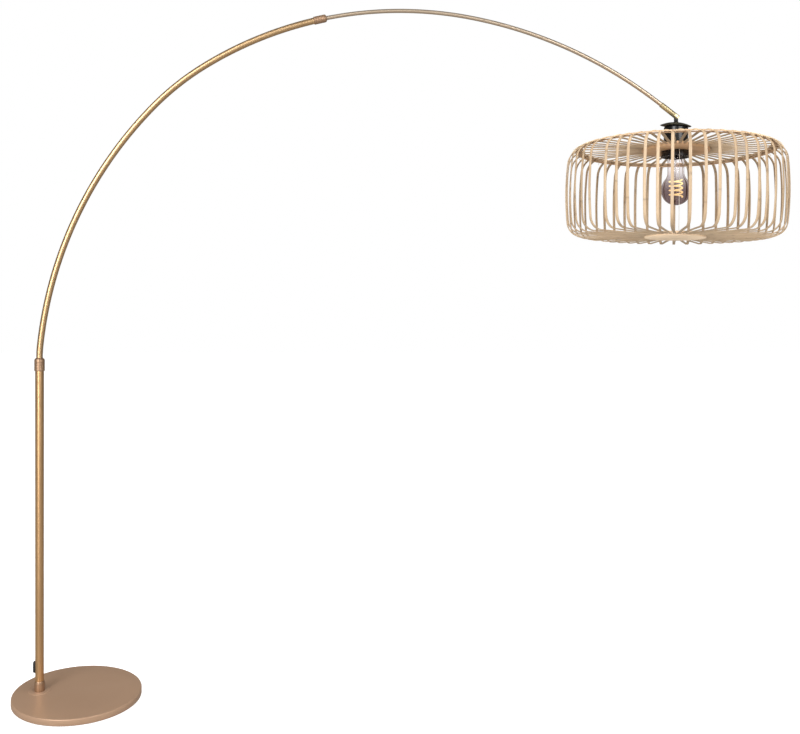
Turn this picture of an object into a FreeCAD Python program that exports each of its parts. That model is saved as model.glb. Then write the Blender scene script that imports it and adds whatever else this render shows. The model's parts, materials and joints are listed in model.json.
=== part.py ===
import FreeCAD, Part
import math
import os

# Arc floor lamp with a bamboo strip shade. Millimetres, +Z up. The origin is the centre of the
# base's underside and the arm reaches out along +X. Everything hangs in the plane Y = 0.

V = FreeCAD.Vector
centre = V(0, 0, 0)
axis_x = V(1, 0, 0)
axis_y = V(0, 1, 0)
axis_z = V(0, 0, 1)

# Clearances
seat_gap = 0.1          # radial gap of a piece fixed in a bore
run_gap = 0.1           # radial gap of a piece that turns or slides on another
bend_gap = 0.3          # radial gap of a straight ring over a gently bent tube
lay_gap = 0.15          # gap between pieces that lie against each other

# Base
base_d = 300.0
base_t = 15.0
base_edge_r = 2.5
pad_t = 1.5
pad_inset = 6.0
pole_x = -90.0          # the pole stands back from the middle of the base
recess_d = 32.0
recess_h = 9.5
foot_plate_d = 52.0
foot_plate_t = 0.8
foot_collar_d = 24.0
foot_collar_h = 23.5
foot_collar_bevel = 1.6
bolt_d = 10.0
bolt_head_af = 17.0
bolt_head_h = 6.4
bolt_grip = 16.0        # thread inside the pole's insert
washer_d = 28.0
washer_t = 1.6
insert_h = 22.0

# Pole and its lock
pole_d = 20.0
pole_wall = 1.5
pole_len = 775.0
ferrule_plug = 15.0
ferrule_flange = 3.0
ferrule_neck = 6.0
ferrule_neck_wall = 1.2
collet_h = 5.0
collet_bevel = 1.4
collet_slit = 1.2
pole_collar_d = 24.0
pole_collar_h = 31.0
pole_collar_over = 15.0  # how far the collar reaches down over the pole
collar_bevel = 2.2
collar_foot_bevel = 0.8
collar_ring = 0.35       # depth of the turned rings
collar_ring_w = 1.2

# Cord outlet on the back of the pole
outlet_up = 56.5         # above the base
outlet_h = 28.0
outlet_w = 11.0
outlet_proud = 4.6
outlet_turn = 180.0      # degrees round the pole from +X
outlet_bore = 6.4
outlet_spigot = 9.0
outlet_flange_back = 2.2

# Arm: bends as (radius, turn in degrees), from the upright tail to the tip
arm_d = 15.0
arm_wall = 1.2
tail_len = 560.0
arm_start = 2.7          # first bend above the pole's collar
first_bends = [(240.0, 6.0), (955.0, 38.4), (645.0, 14.2)]
reach_r = 889.3          # the bend that the two arm tubes share
reach_lower = 19.1       # degrees of it in the lower tube
reach_inside = 8.0       # degrees of the upper tube inside the lower one
reach_upper = 23.0       # degrees of it ahead of the joint
tip_r = 1057.2
tip_turn = 28.4
tail_flange = 6.0
tail_spigot = 14.0
tail_bore = 8.0

# Lock between the arm tubes
arc_collar_d = 18.5
arc_collar_h = 31.0
arc_collar_over = 15.0
arc_ferrule_plug = 12.0
arc_ferrule_flange = 3.0
arc_ferrule_neck = 5.0
arc_neck_wall = 1.3
arc_collar_nose = 2.6

# Upper arm tube and its end
tip_d = 9.5
tip_wall = 1.0
arm_bush_len = 10.0
sleeve_d = 12.0
sleeve_len = 52.0
sleeve_grip = 18.0       # tube inside the sleeve
sleeve_bore = 6.6
slot_len = 16.0
slot_w = 4.2
pin_back = 6.0           # pivot from the sleeve's end
pin_d = 3.0
pin_head_d = 5.4
pin_head_h = 1.2
sleeve_flat = 5.0        # half width across the flats at the pivot

# Shade: everything below hangs from the pivot, measured down from it
shade_tilt = 1.5         # degrees, as it was left in the photograph
link_t = 3.7
link_r = 4.5
link_bell_r = 5.6
link_drop = 14.1         # underside of the bell
stem_d = 8.0
stem_len = 14.5
cap_d = 70.0
cap_rise = 8.0
cap_t = 1.2
nut_af = 13.0
nut_h = 6.0
stem_nut_h = 4.5
holder_d = 52.0
holder_h = 51.5
holder_wall = 2.0
holder_shoulder = 8.0
thread_d = 45.0          # the holder's lower neck, through the hub
thread_wall = 2.0
thread_len = 21.0
ring_d = 66.0
ring_h = 17.0
ring_edge = 2.0
ring_mouth_r = 29.0
socket_bore_r = 13.9
socket_top = 12.0        # its top below the holder's top plate
socket_mouth = 8.0       # its mouth below the hub's top
socket_floor = 7.0
socket_flange = 3.0
shell_t = 0.4

# Bulb
bulb_cap_r = 13.1
bulb_cap_h = 24.0
bulb_cap_wall = 0.5
bulb_neck_r = 18.8
bulb_r = 32.5
bulb_flare_r = 30.0
bulb_straight = 7.0
bulb_wall = 1.2
bulb_len = 130.5         # glass, from the cap to the tip
filament_r = 14.5
filament_d = 2.6
filament_pitch = 10.0
filament_turns = 4
filament_top = 71.0      # below the top of the glass
stem_rod_r = 2.0

# Cage
hub_d = 152.0
hub_t = 11.0
hub_edge = 0.8
hub_run_up = 6.0         # strip's middle above the top hub's underside
strip_count = 48
strip_w = 7.2
strip_t = 2.4
strip_grip = 8.0         # strip end inside a hub
strip_side_gap = 0.15
cage_r = 250.0           # outside of the strips
cage_h = 209.7           # between the middles of the top and bottom runs
top_bend_r = 28.0
bottom_bend_r = 38.8
wall_lean = 5.8          # degrees at the ends of the bowed wall
hoop_r = 211.5
hoop_d = 6.0

# Flex inside the tubes
flex_d = 6.0
flex_bend_r = 8.0

# Heights that follow
base_top = pad_t + base_t
pole_foot = base_top + foot_plate_t
pole_top = pole_foot + pole_len
collar_low = pole_top - pole_collar_over
collar_high = collar_low + pole_collar_h
arm_bend_z = collar_high + arm_start
pole_bore_r = pole_d / 2 - pole_wall
arm_r = arm_d / 2
arm_bore_r = arm_r - arm_wall
tip_tube_r = tip_d / 2
tip_bore_r = tip_tube_r - tip_wall
cap_top = link_drop
holder_top = cap_top + cap_t + nut_h
hub_top = holder_top + holder_h
hub_under = hub_top + hub_t
top_run = hub_under - hub_run_up
bottom_run = top_run + cage_h
ring_low = hub_under + ring_h
bulb_cap_low = hub_top + socket_mouth + 0.5
glass_top = bulb_cap_low


def point(r, z):
    return V(r, 0, z)


def on_circle(cx, cz, r, degrees):
    a = math.radians(degrees)
    return (cx + r * math.cos(a), cz + r * math.sin(a))


def round_to(cx, cz, r, first, last):
    # an arc step for outline(): its middle and its end
    return on_circle(cx, cz, r, (first + last) / 2) + on_circle(cx, cz, r, last)


def outline(start, *steps):
    # a closed face in the plane Y = 0; a step of four numbers is an arc by its middle and end
    edges = []
    here = point(*start)
    for step in steps:
        there = point(*step[-2:])
        if len(step) == 4:
            edges.append(Part.Arc(here, point(*step[:2]), there).toShape())
        else:
            edges.append(Part.LineSegment(here, there).toShape())
        here = there
    if here.distanceToPoint(point(*start)) > 1e-6:
        edges.append(Part.LineSegment(here, point(*start)).toShape())
    return Part.Face(Part.Wire(edges))


def turned(start, *steps):
    return outline(start, *steps).revolve(centre, axis_z, 360)


def ring(r_out, r_in, low, high):
    return turned((r_in, low), (r_out, low), (r_out, high), (r_in, high))


def rod(r, low, high):
    return Part.makeCylinder(r, high - low, V(0, 0, low))


def hexagon(across, low, high, hole_r=0.0):
    corner = across / math.sqrt(3)
    corners = [V(*on_circle(0, 0, corner, 60 * i), low) for i in range(7)]
    body = Part.Face(Part.makePolygon(corners)).extrude(V(0, 0, high - low))
    if hole_r:
        body = body.cut(rod(hole_r, low - 1, high + 1))
    return body


def at_pole(shape):
    shape.translate(V(pole_x, 0, 0))
    return shape


def export(shape, name):
    shape.exportStep("parts/%s.step" % name)


# ---- the arm's line: each bend is (centre, radius, heading at its start, turn) ----

def heading_vector(heading):
    a = math.radians(heading)
    return V(math.cos(a), 0, math.sin(a))


def bend_point(bend, turned_by, offset=0.0):
    # a point on a bend; the offset is towards the inside of the bend
    middle, radius, heading, turn = bend
    side = heading_vector(heading - turned_by + 90)
    return middle + side * (radius - offset)


def follow(start, heading, bends):
    line = []
    here = start
    for radius, turn in bends:
        inward = heading_vector(heading - 90)
        bend = (here + inward * radius, radius, heading, turn)
        line.append(bend)
        here = bend_point(bend, turn)
        heading = heading - turn
    return line


def swept(line, r_out, r_in=0.0, offset=0.0):
    pieces = []
    for bend in line:
        middle, radius, heading, turn = bend
        here = bend_point(bend, 0, offset)
        along = heading_vector(heading)
        face = Part.Face(Part.Wire(Part.makeCircle(r_out, here, along)))
        if r_in:
            face = face.cut(Part.Face(Part.Wire(Part.makeCircle(r_in, here, along)))).Faces[0]
        pieces.append(face.revolve(middle, axis_y, turn))
    return pieces


def joined(pieces):
    if len(pieces) == 1:
        return pieces[0]
    return pieces[0].fuse(pieces[1:]).removeSplitter()


def set_along(shape, here, heading):
    # a shape made along +Z is turned to the heading and moved to its place
    shape.rotate(centre, axis_y, 90 - heading)
    shape.translate(here)
    return shape


lower_line = follow(point(pole_x, arm_bend_z), 90.0, first_bends + [(reach_r, reach_lower)])
joint_heading = 90.0 - sum(turn for radius, turn in first_bends) - reach_lower
joint_at = bend_point(lower_line[-1], reach_lower)
reach_centre = lower_line[-1][0]
inner_heading = joint_heading + reach_inside
inner_at = reach_centre + heading_vector(inner_heading + 90) * reach_r
upper_line = follow(inner_at, inner_heading, [(reach_r, reach_inside + reach_upper), (tip_r, tip_turn)])
sleeve_turn = math.degrees(sleeve_grip / tip_r)
sleeve_heading = upper_line[-1][2] - tip_turn + sleeve_turn
sleeve_at = bend_point(upper_line[-1], tip_turn - sleeve_turn)
pivot = sleeve_at + heading_vector(sleeve_heading) * (sleeve_len - pin_back)


def hang(shape):
    # places a piece drawn with the pivot at the origin
    shape.rotate(centre, axis_y, shade_tilt)
    shape.translate(pivot)
    return shape


# ---- base and pole ----

def make_base_disc():
    r = base_d / 2
    body = turned((0, pad_t), (r - 0.6, pad_t), (r, pad_t + 0.6), (r, base_top - base_edge_r),
                  round_to(r - base_edge_r, base_top - base_edge_r, base_edge_r, 0, 90),
                  (0, base_top))
    body = body.cut(at_pole(rod(bolt_d / 2 + bend_gap, 0, base_top + 1)))
    return body.cut(at_pole(rod(recess_d / 2, 0, pad_t + recess_h)))


def make_base_pad():
    body = rod(base_d / 2 - pad_inset, 0, pad_t)
    return body.cut(at_pole(rod(recess_d / 2 + 1, -1, pad_t + 1)))


def make_foot_plate():
    r = foot_plate_d / 2
    return at_pole(turned((bolt_d / 2 + bend_gap, base_top), (r, base_top),
                          (r - 0.4, pole_foot), (bolt_d / 2 + bend_gap, pole_foot)))


def make_foot_collar():
    r = foot_collar_d / 2
    r_in = pole_d / 2 + seat_gap
    top = pole_foot + foot_collar_h
    step_r = r - 0.7
    return at_pole(turned((r_in, pole_foot), (r, pole_foot), (r, top - 5.0), (step_r, top - 4.4),
                          (step_r, top - foot_collar_bevel), (r_in + 0.3, top), (r_in, top)))


def make_foot_bolt():
    head_low = pad_t + recess_h - washer_t - bolt_head_h
    head = hexagon(bolt_head_af, head_low, head_low + bolt_head_h)
    shank = rod(bolt_d / 2, head_low + bolt_head_h, pole_foot + bolt_grip)
    return at_pole(head.fuse(shank))


def make_foot_washer():
    high = pad_t + recess_h
    return at_pole(ring(washer_d / 2, bolt_d / 2 + seat_gap, high - washer_t, high))


def make_pole_insert():
    body = ring(pole_bore_r - seat_gap, bolt_d / 2 + seat_gap, pole_foot, pole_foot + insert_h)
    return at_pole(body)


def make_pole():
    body = at_pole(ring(pole_d / 2, pole_bore_r, pole_foot, pole_top))
    hole = Part.makeCylinder(outlet_spigot / 2 + seat_gap, pole_d)
    return body.cut(set_outlet(hole))


def set_outlet(shape):
    # a shape made along +Z is turned to stand out of the pole's back
    shape.rotate(centre, axis_y, 90)
    shape.rotate(centre, axis_z, outlet_turn)
    shape.translate(V(pole_x, 0, base_top + outlet_up))
    return shape


def make_cord_outlet():
    # rounded pad drawn flat: its long side becomes upright once it is set on the pole
    far = pole_d / 2 + outlet_proud
    r = outlet_w / 2
    half = outlet_h / 2 - r
    low = far - outlet_flange_back - outlet_proud
    pad = Part.makeBox(2 * half, outlet_w, far - low, V(-half, -r, low))
    for side in (-half, half):
        pad = pad.fuse(Part.makeCylinder(r, far - low, V(side, 0, low)))
    pad = pad.removeSplitter()
    rim = [e for e in pad.Edges if abs(e.BoundBox.ZMin - far) < 1e-6 and abs(e.BoundBox.ZMax - far) < 1e-6]
    pad = pad.makeChamfer(1.6, rim)
    pad = set_outlet(pad).cut(at_pole(rod(pole_d / 2 + seat_gap, 0, 2 * outlet_up + base_top)))
    spigot = set_outlet(Part.makeCylinder(outlet_spigot / 2, far - pole_bore_r - 1, V(0, 0, pole_bore_r)))
    bore = set_outlet(Part.makeCylinder(outlet_bore / 2, 2 * far))
    return pad.fuse(spigot).removeSplitter().cut(bore)


def make_pole_ferrule():
    bore = arm_r + bend_gap
    neck = bore + ferrule_neck_wall
    plug = pole_bore_r - seat_gap
    flange_top = pole_top + ferrule_flange
    return at_pole(turned((bore, pole_top - ferrule_plug), (plug, pole_top - ferrule_plug),
                          (plug, pole_top), (pole_d / 2, pole_top), (pole_d / 2, flange_top),
                          (neck, flange_top), (neck, flange_top + ferrule_neck),
                          (bore, flange_top + ferrule_neck)))


def make_collet(bore, wall, low):
    # split ring whose bevelled shoulder the collar presses in
    r = bore + wall
    high = low + collet_h
    body = turned((bore, low), (r, low), (r, high - collet_bevel), (r - collet_bevel, high), (bore, high))
    return body.cut(Part.makeBox(2 * r, collet_slit, 2 * collet_h, V(0, -collet_slit / 2, low - 1)))


def make_pole_collet():
    low = pole_top + ferrule_flange + ferrule_neck
    return at_pole(make_collet(arm_r + seat_gap, 1.9, low))


def collar_outline(r, bore, lip_bore, low, high, cavity_high, nose):
    # turned nut: bevelled nose, three shallow rings and a small bevel at its foot
    steps = [(r - collar_foot_bevel, low), (r, low + collar_foot_bevel)]
    pitch = (high - nose - low - collar_foot_bevel) / 4
    for i in range(1, 4):
        z = low + collar_foot_bevel + i * pitch
        steps += [(r, z - collar_ring_w / 2), (r - collar_ring, z - collar_ring_w / 4),
                  (r - collar_ring, z + collar_ring_w / 4), (r, z + collar_ring_w / 2)]
    steps += [(r, high - nose), round_to(r - nose, high - nose, nose, 0, 60), (lip_bore + 0.4, high)]
    steps += [(lip_bore, high - 0.4), (lip_bore, cavity_high), (bore - collet_bevel, cavity_high)]
    steps += [(bore, cavity_high - collet_bevel)]
    return turned((bore, low), *steps)


def make_pole_collar():
    cavity = pole_top + ferrule_flange + ferrule_neck + collet_h + bend_gap
    return at_pole(collar_outline(pole_collar_d / 2, pole_d / 2 + run_gap, arm_r + bend_gap,
                                  collar_low, collar_high, cavity, collar_bevel))


# ---- arm ----

def make_tail_bush():
    low = arm_bend_z - tail_len
    spigot = arm_bore_r - run_gap
    return at_pole(turned((tail_bore / 2, low - tail_flange), (pole_bore_r - run_gap, low - tail_flange),
                          (pole_bore_r - run_gap, low - lay_gap), (spigot, low - lay_gap),
                          (spigot, low + tail_spigot), (tail_bore / 2, low + tail_spigot)))


def make_lower_arc():
    tail = at_pole(ring(arm_r, arm_bore_r, arm_bend_z - tail_len, arm_bend_z))
    return joined([tail] + swept(lower_line, arm_r, arm_bore_r))


def make_arc_ferrule():
    bore = tip_tube_r + bend_gap
    neck = bore + arc_neck_wall
    plug = arm_bore_r - 1.5 * seat_gap
    flange = arc_ferrule_flange
    body = turned((bore, -arc_ferrule_plug), (plug, -arc_ferrule_plug), (plug, 0), (arm_r, 0),
                  (arm_r, flange), (neck, flange), (neck, flange + arc_ferrule_neck),
                  (bore, flange + arc_ferrule_neck))
    return set_along(body, joint_at, joint_heading)


def make_arc_collet():
    low = arc_ferrule_flange + arc_ferrule_neck
    return set_along(make_collet(tip_tube_r + bend_gap, 1.9, low), joint_at, joint_heading)


def make_arc_collar():
    cavity = arc_ferrule_flange + arc_ferrule_neck + collet_h + bend_gap
    body = collar_outline(arc_collar_d / 2, arm_r + bend_gap, tip_tube_r + 1.5 * bend_gap,
                          -arc_collar_over, arc_collar_h - arc_collar_over, cavity, arc_collar_nose)
    return set_along(body, joint_at, joint_heading)


def make_arm_bush():
    turn = math.degrees(arm_bush_len / reach_r)
    line = follow(inner_at, inner_heading, [(reach_r, turn)])
    return joined(swept(line, arm_bore_r - run_gap, tip_tube_r + seat_gap))


def make_upper_arc():
    return joined(swept(upper_line, tip_tube_r, tip_bore_r))


def make_end_sleeve():
    r = sleeve_d / 2
    grip_r = tip_tube_r + seat_gap
    grip = sleeve_grip + 1
    body = turned((grip_r, 0), (r - 0.8, 0), (r, 0.8), (r, sleeve_len - 0.8), (r - 0.8, sleeve_len),
                  (sleeve_bore / 2, sleeve_len), (sleeve_bore / 2, grip), (grip_r, grip))
    slot = Part.makeBox(sleeve_d + 2, slot_w, slot_len + 1, V(-r - 1, -slot_w / 2, sleeve_len - slot_len))
    body = body.cut(slot)
    for side in (-1, 1):
        low_y = sleeve_flat if side > 0 else -sleeve_flat - r
        body = body.cut(Part.makeBox(sleeve_d + 2, r, 2 * pin_back + 1, V(-r - 1, low_y, sleeve_len - 2 * pin_back)))
    hole = Part.makeCylinder(pin_d / 2 + seat_gap, 2 * sleeve_d, V(0, -sleeve_d, sleeve_len - pin_back), axis_y)
    return set_along(body.cut(hole), sleeve_at, sleeve_heading)


def make_swivel_screw():
    # its head is towards the viewer, its threaded end takes the nut
    shank = Part.makeCylinder(pin_d / 2, 2 * sleeve_flat + 2.4, V(0, -sleeve_flat, 0), axis_y)
    head = Part.makeCone(pin_head_d / 2, pin_head_d / 2 - 0.5, pin_head_h, V(0, -sleeve_flat, 0), V(0, -1, 0))
    body = head.fuse(shank)
    body.translate(pivot)
    return body


def make_swivel_nut():
    body = hexagon(pin_head_d, 0, 1.8, pin_d / 2 + seat_gap)
    body.rotate(centre, axis_x, -90)
    body.translate(pivot + V(0, sleeve_flat, 0))
    return body


# ---- hanging parts: the pivot is at the origin, down is -Z ----

def make_swivel_link():
    eye = Part.makeCylinder(link_r, link_t, V(0, -link_t / 2, 0), axis_y)
    tongue = Part.makeBox(2 * link_r, link_t, link_drop - 3, V(-link_r, -link_t / 2, 3 - link_drop))
    bell = turned((0, -link_drop), (link_bell_r, -link_drop), (link_bell_r, 0.8 - link_drop),
                  (3.2, 4.2 - link_drop), (0, 4.2 - link_drop))
    stem = rod(stem_d / 2, -link_drop - stem_len, -link_drop)
    body = eye.fuse([tongue, bell, stem])
    hole = Part.makeCylinder(pin_d / 2 + run_gap, 2 * link_t, V(0, -link_t, 0), axis_y)
    return hang(body.cut(hole).removeSplitter())


def make_cap_disc():
    hole = stem_d / 2 + seat_gap
    rim = cap_d / 2
    r = (rim * rim + cap_rise * cap_rise) / (2 * cap_rise)
    middle = -cap_top - r
    rim_angle = math.degrees(math.acos(rim / r))
    hole_angle = math.degrees(math.acos(hole / r))
    inner_hole = math.degrees(math.acos(hole / (r - cap_t)))
    return hang(turned(on_circle(0, middle, r, hole_angle), round_to(0, middle, r, hole_angle, rim_angle),
                       on_circle(0, middle, r - cap_t, rim_angle),
                       round_to(0, middle, r - cap_t, rim_angle, inner_hole)))


def make_cap_nut():
    high = -cap_top - cap_t - bend_gap
    return hang(hexagon(nut_af, -holder_top, high, stem_d / 2 + seat_gap))


def make_stem_nut():
    high = -holder_top - holder_wall
    return hang(hexagon(nut_af, high - stem_nut_h, high, stem_d / 2 + seat_gap))


def make_holder_shell():
    # cup with a rounded shoulder, and a narrower threaded neck that goes through the hub
    r = holder_d / 2
    sh = holder_shoulder
    w = holder_wall
    neck = thread_d / 2
    low = -hub_top - thread_len
    return hang(turned((stem_d / 2 + seat_gap, -holder_top), (r - sh, -holder_top),
                       round_to(r - sh, -holder_top - sh, sh, 90, 0), (r, -hub_top), (neck, -hub_top),
                       (neck, low), (neck - thread_wall, low), (neck - thread_wall, w - hub_top),
                       (r - w, w - hub_top), (r - w, -holder_top - sh),
                       round_to(r - sh, -holder_top - sh, sh - w, 0, 90),
                       (stem_d / 2 + seat_gap, -holder_top - w)))


def make_socket_body():
    # seats with its flange on the ledge inside the holder
    r = thread_d / 2 - thread_wall - seat_gap
    ledge = holder_wall - hub_top
    flange_r = holder_d / 2 - holder_wall - bend_gap
    top = -holder_top - socket_top
    block_r = r - 4.5
    floor = bulb_cap_low - bulb_cap_h - 8.0
    return hang(turned((0, top), (block_r, top), (block_r, top - 12), (r, top - 14),
                       (r, ledge + socket_flange), (flange_r, ledge + socket_flange), (flange_r, ledge),
                       (r, ledge), (r, -hub_top - socket_mouth), (socket_bore_r, -hub_top - socket_mouth),
                       (socket_bore_r, -floor), (0, -floor)))


def make_socket_shell():
    low = -hub_top - socket_mouth + 0.5
    r = socket_bore_r - seat_gap
    return hang(ring(r, r - shell_t, low, low + bulb_cap_h - 3))


def make_contact_spring():
    # leaf that stands on the socket's floor and presses on the bulb's contact
    floor = -(bulb_cap_low - bulb_cap_h - 8.0)
    tip = -(bulb_cap_low - bulb_cap_h) + 4.4
    face = outline((-9, floor), (-3, floor), (1.5, tip + 0.7), (5, tip + 0.7), (5, tip + 0.2),
                   (1.8, tip + 0.2), (-2.8, floor - 0.5), (-9, floor - 0.5))
    body = face.extrude(V(0, 4, 0))
    body.translate(V(0, -2, 0))
    return hang(body)


def make_shade_ring():
    r = ring_d / 2
    thread = thread_d / 2 + seat_gap
    web = -hub_top - thread_len
    low = -ring_low
    return hang(turned((thread, -hub_under), (r - 0.8, -hub_under), (r, -hub_under - 0.8),
                       (r, low + ring_edge), round_to(r - ring_edge, low + ring_edge, ring_edge, 0, -90),
                       (ring_mouth_r, low), (thread + 1.2, web), (thread, web)))


def make_hub(high, hole_r, run_z):
    # turned wooden disc with one slot for each strip, open to its top face
    r = hub_d / 2
    low = high - hub_t
    start = (hole_r, low)
    body = turned(start, (r - hub_edge, low), (r, low + hub_edge), (r, high - hub_edge),
                  (r - hub_edge, high), (hole_r, high))
    slots = []
    slot_floor = run_z - strip_t / 2
    for i in range(strip_count):
        w = strip_w + 2 * strip_side_gap
        slot = Part.makeBox(strip_grip + 2, w, hub_t, V(r - strip_grip - lay_gap, -w / 2, slot_floor))
        slot.rotate(centre, axis_z, strip_angle(i))
        slots.append(slot)
    return body.cut(slots)


def strip_angle(i):
    pitch = 360.0 / strip_count
    return (i + 0.5) * pitch


def make_top_hub():
    return hang(make_hub(-hub_top, thread_d / 2 + bend_gap, -top_run))


def make_bottom_hub():
    return hang(make_hub(hub_run_up + 0.5 - bottom_run, 0.0, -bottom_run))


def strip_face():
    # one strip seen from its side: level run, bend, bowed wall, bend, level run
    lean = math.radians(wall_lean)
    bends = top_bend_r + bottom_bend_r
    wall_r = ((cage_h - bends) / math.sin(lean) + bends) / 2
    wall_x = cage_r - strip_t / 2 - wall_r
    wall_z = -top_run - top_bend_r - (wall_r - top_bend_r) * math.sin(lean)
    top = on_circle(wall_x, wall_z, wall_r - top_bend_r, wall_lean)
    bottom = on_circle(wall_x, wall_z, wall_r - bottom_bend_r, -wall_lean)
    start = hub_d / 2 - strip_grip
    half = strip_t / 2
    a = wall_lean
    return outline((start, -top_run + half), (top[0], -top_run + half),
                   round_to(*top, top_bend_r + half, 90, a),
                   round_to(wall_x, wall_z, wall_r + half, a, -a),
                   round_to(*bottom, bottom_bend_r + half, -a, -90),
                   (start, -bottom_run - half), (start, -bottom_run + half), (bottom[0], -bottom_run + half),
                   round_to(*bottom, bottom_bend_r - half, -90, -a),
                   round_to(wall_x, wall_z, wall_r - half, -a, a),
                   round_to(*top, top_bend_r - half, a, 90), (start, -top_run - half))


def make_cage_strips():
    strip = strip_face().extrude(V(0, strip_w, 0))
    strip.translate(V(0, -strip_w / 2, 0))
    strips = []
    for i in range(strip_count):
        copy = strip.copy()
        copy.rotate(centre, axis_z, strip_angle(i))
        strips.append(hang(copy))
    return Part.makeCompound(strips)


def make_rim_hoop():
    z = -top_run - strip_t / 2 - lay_gap - hoop_d / 2
    return hang(Part.makeTorus(hoop_r, hoop_d / 2, V(0, 0, z)))


# ---- bulb ----

def make_bulb_cap():
    r = bulb_cap_r
    low = -bulb_cap_low
    return hang(ring(r, r - bulb_cap_wall, low, low + bulb_cap_h - 2))


def make_bulb_insulator():
    low = -bulb_cap_low + bulb_cap_h - 4
    r = bulb_cap_r - bulb_cap_wall - seat_gap
    return hang(turned((0, low), (r, low), (r, low + 2), (6, low + 5.5), (0, low + 5.5)))


def make_bulb_contact():
    low = -bulb_cap_low + bulb_cap_h + 1.5
    return hang(turned((0, low), (4.8, low), (4.2, low + 1.8), (0, low + 2.4)))


def glass_outline(skin):
    # outside of the glass for skin 0, inside for skin = wall
    r = bulb_r - skin
    neck = bulb_neck_r - skin
    flare = bulb_flare_r + skin
    tip = -glass_top - bulb_len
    low_middle = tip + bulb_r
    high_middle = low_middle + bulb_straight
    rise = math.sqrt((flare + r) ** 2 - (neck + flare) ** 2)
    turn = math.degrees(math.atan2(rise, neck + flare))
    mouth = bulb_cap_r - bulb_cap_wall - seat_gap - skin
    return [(mouth, -glass_top), (mouth, -glass_top - 2), (neck, -glass_top - 14), (neck, high_middle + rise),
            round_to(neck + flare, high_middle + rise, flare, 180, 180 + turn),
            round_to(0, high_middle, r, turn, 0), (r, low_middle), round_to(0, low_middle, r, 0, -90)]


def make_bulb_glass():
    solid = []
    for skin in (0.0, bulb_wall):
        steps = glass_outline(skin)
        solid.append(turned((0, -glass_top), *steps))
    return hang(solid[0].cut(solid[1]))


def make_bulb_stem():
    # pressed glass foot closes the neck and carries a rod down through the spiral
    mouth = bulb_cap_r - bulb_cap_wall - seat_gap - bulb_wall - lay_gap
    top = -glass_top - 0.5
    foot = top - 9
    low = -glass_top - filament_top - filament_pitch * filament_turns - 6
    return hang(turned((0, top), (mouth, top), (mouth, top - 1.2), (4.5, foot), (3.5, foot - 24),
                       (stem_rod_r, foot - 28), (stem_rod_r, low + 1), (stem_rod_r - 1, low), (0, low)))


def biarc_edges(p0, t0, p1, t1):
    # two arcs, tangent to each other and to the given directions
    v = p1 - p0
    t = t0 + t1
    k = 2 * (1 - t0.dot(t1))
    d = (math.sqrt(v.dot(t) ** 2 + k * v.dot(v)) - v.dot(t)) / k
    c0 = p0 + t0 * d
    c1 = p1 - t1 * d
    joint = (c0 + c1) * 0.5
    return [tangent_arc(p0, c0, joint), tangent_arc(joint, c1, p1)]


def tangent_arc(start, corner, end):
    half = (end - start) * 0.5
    chord_middle = start + half
    out = corner - chord_middle
    angle = math.acos(half.Length / (corner - start).Length)
    middle = chord_middle + out * (half.Length * math.tan(angle / 2) / out.Length)
    return Part.Arc(start, middle, end).toShape()


def filament_place(quarter):
    a = math.radians(90 * quarter)
    rise = -filament_pitch * quarter / 4
    top = -glass_top - filament_top
    place = V(filament_r * math.cos(a), filament_r * math.sin(a), top + rise)
    slope = -filament_pitch / (2 * math.pi)
    along = V(-filament_r * math.sin(a), filament_r * math.cos(a), slope)
    return place, along.normalize()


def make_bulb_filament():
    edges = []
    for quarter in range(4 * filament_turns):
        edges += biarc_edges(*filament_place(quarter), *filament_place(quarter + 1))
    start, along = filament_place(0)
    section = Part.Wire(Part.makeCircle(filament_d / 2, start, along))
    body = Part.Wire(edges).makePipeShell([section], True, False)
    length = sum(edge.Length for edge in edges)
    share = body.Volume / (length * math.pi * filament_d ** 2 / 4)
    drop = filament_pitch / math.sqrt(1 + (filament_pitch / (2 * math.pi * filament_r)) ** 2)
    print("filament: volume share %.4f, least gap between turns %.2f mm" % (share, drop - filament_d))
    return hang(body)


def make_bulb_leads():
    # two wires from the rod to the ends of the spiral
    wires = []
    for quarter, reach in ((0, 7.0), (4 * filament_turns, -3.5)):
        end, along = filament_place(quarter)
        side = V(end.x, end.y, 0)
        side.normalize()
        near = side * (stem_rod_r + lay_gap) + V(0, 0, end.z + reach)
        stop = end - side * (filament_d / 2 + lay_gap)
        wires.append(Part.makeCylinder(0.4, (stop - near).Length, near, stop - near))
    return hang(Part.makeCompound(wires))


# ---- flex, cut where the tubes slide ----

def make_flex_pole():
    # from the outlet's spigot, up the middle of the pole
    start = V(0, 0, 0)
    up = V(0, 0, 1)
    inward = V(-1, 0, 0)
    corner = Part.Arc(start, start + V(-flex_bend_r * math.sin(math.radians(45)), 0,
                                       flex_bend_r * (1 - math.cos(math.radians(45)))),
                      start + inward * flex_bend_r + up * flex_bend_r).toShape()
    tail_low = arm_bend_z - tail_len - tail_flange
    high = tail_low - 10 - (base_top + outlet_up)
    top = start + inward * flex_bend_r + up * high
    rise = Part.LineSegment(corner.Vertexes[-1].Point, top).toShape()
    section = Part.Wire(Part.makeCircle(flex_d / 2, start, inward))
    body = Part.Wire([corner, rise]).makePipeShell([section], True, False)
    body.translate(V(pole_bore_r - lay_gap, 0, 0))
    body.rotate(centre, axis_z, outlet_turn)
    body.translate(V(pole_x, 0, base_top + outlet_up))
    return body


def make_flex_arm():
    # lies on the inside of the lower tube, short of where the upper tube slides in
    offset = arm_bore_r - flex_d / 2 - lay_gap
    low = arm_bend_z - tail_len + tail_spigot + 2
    line = lower_line[:3]
    tail = Part.makeCylinder(flex_d / 2, arm_bend_z - low, V(pole_x + offset, 0, low))
    return joined([tail] + swept(line, flex_d / 2, 0, offset))


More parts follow.
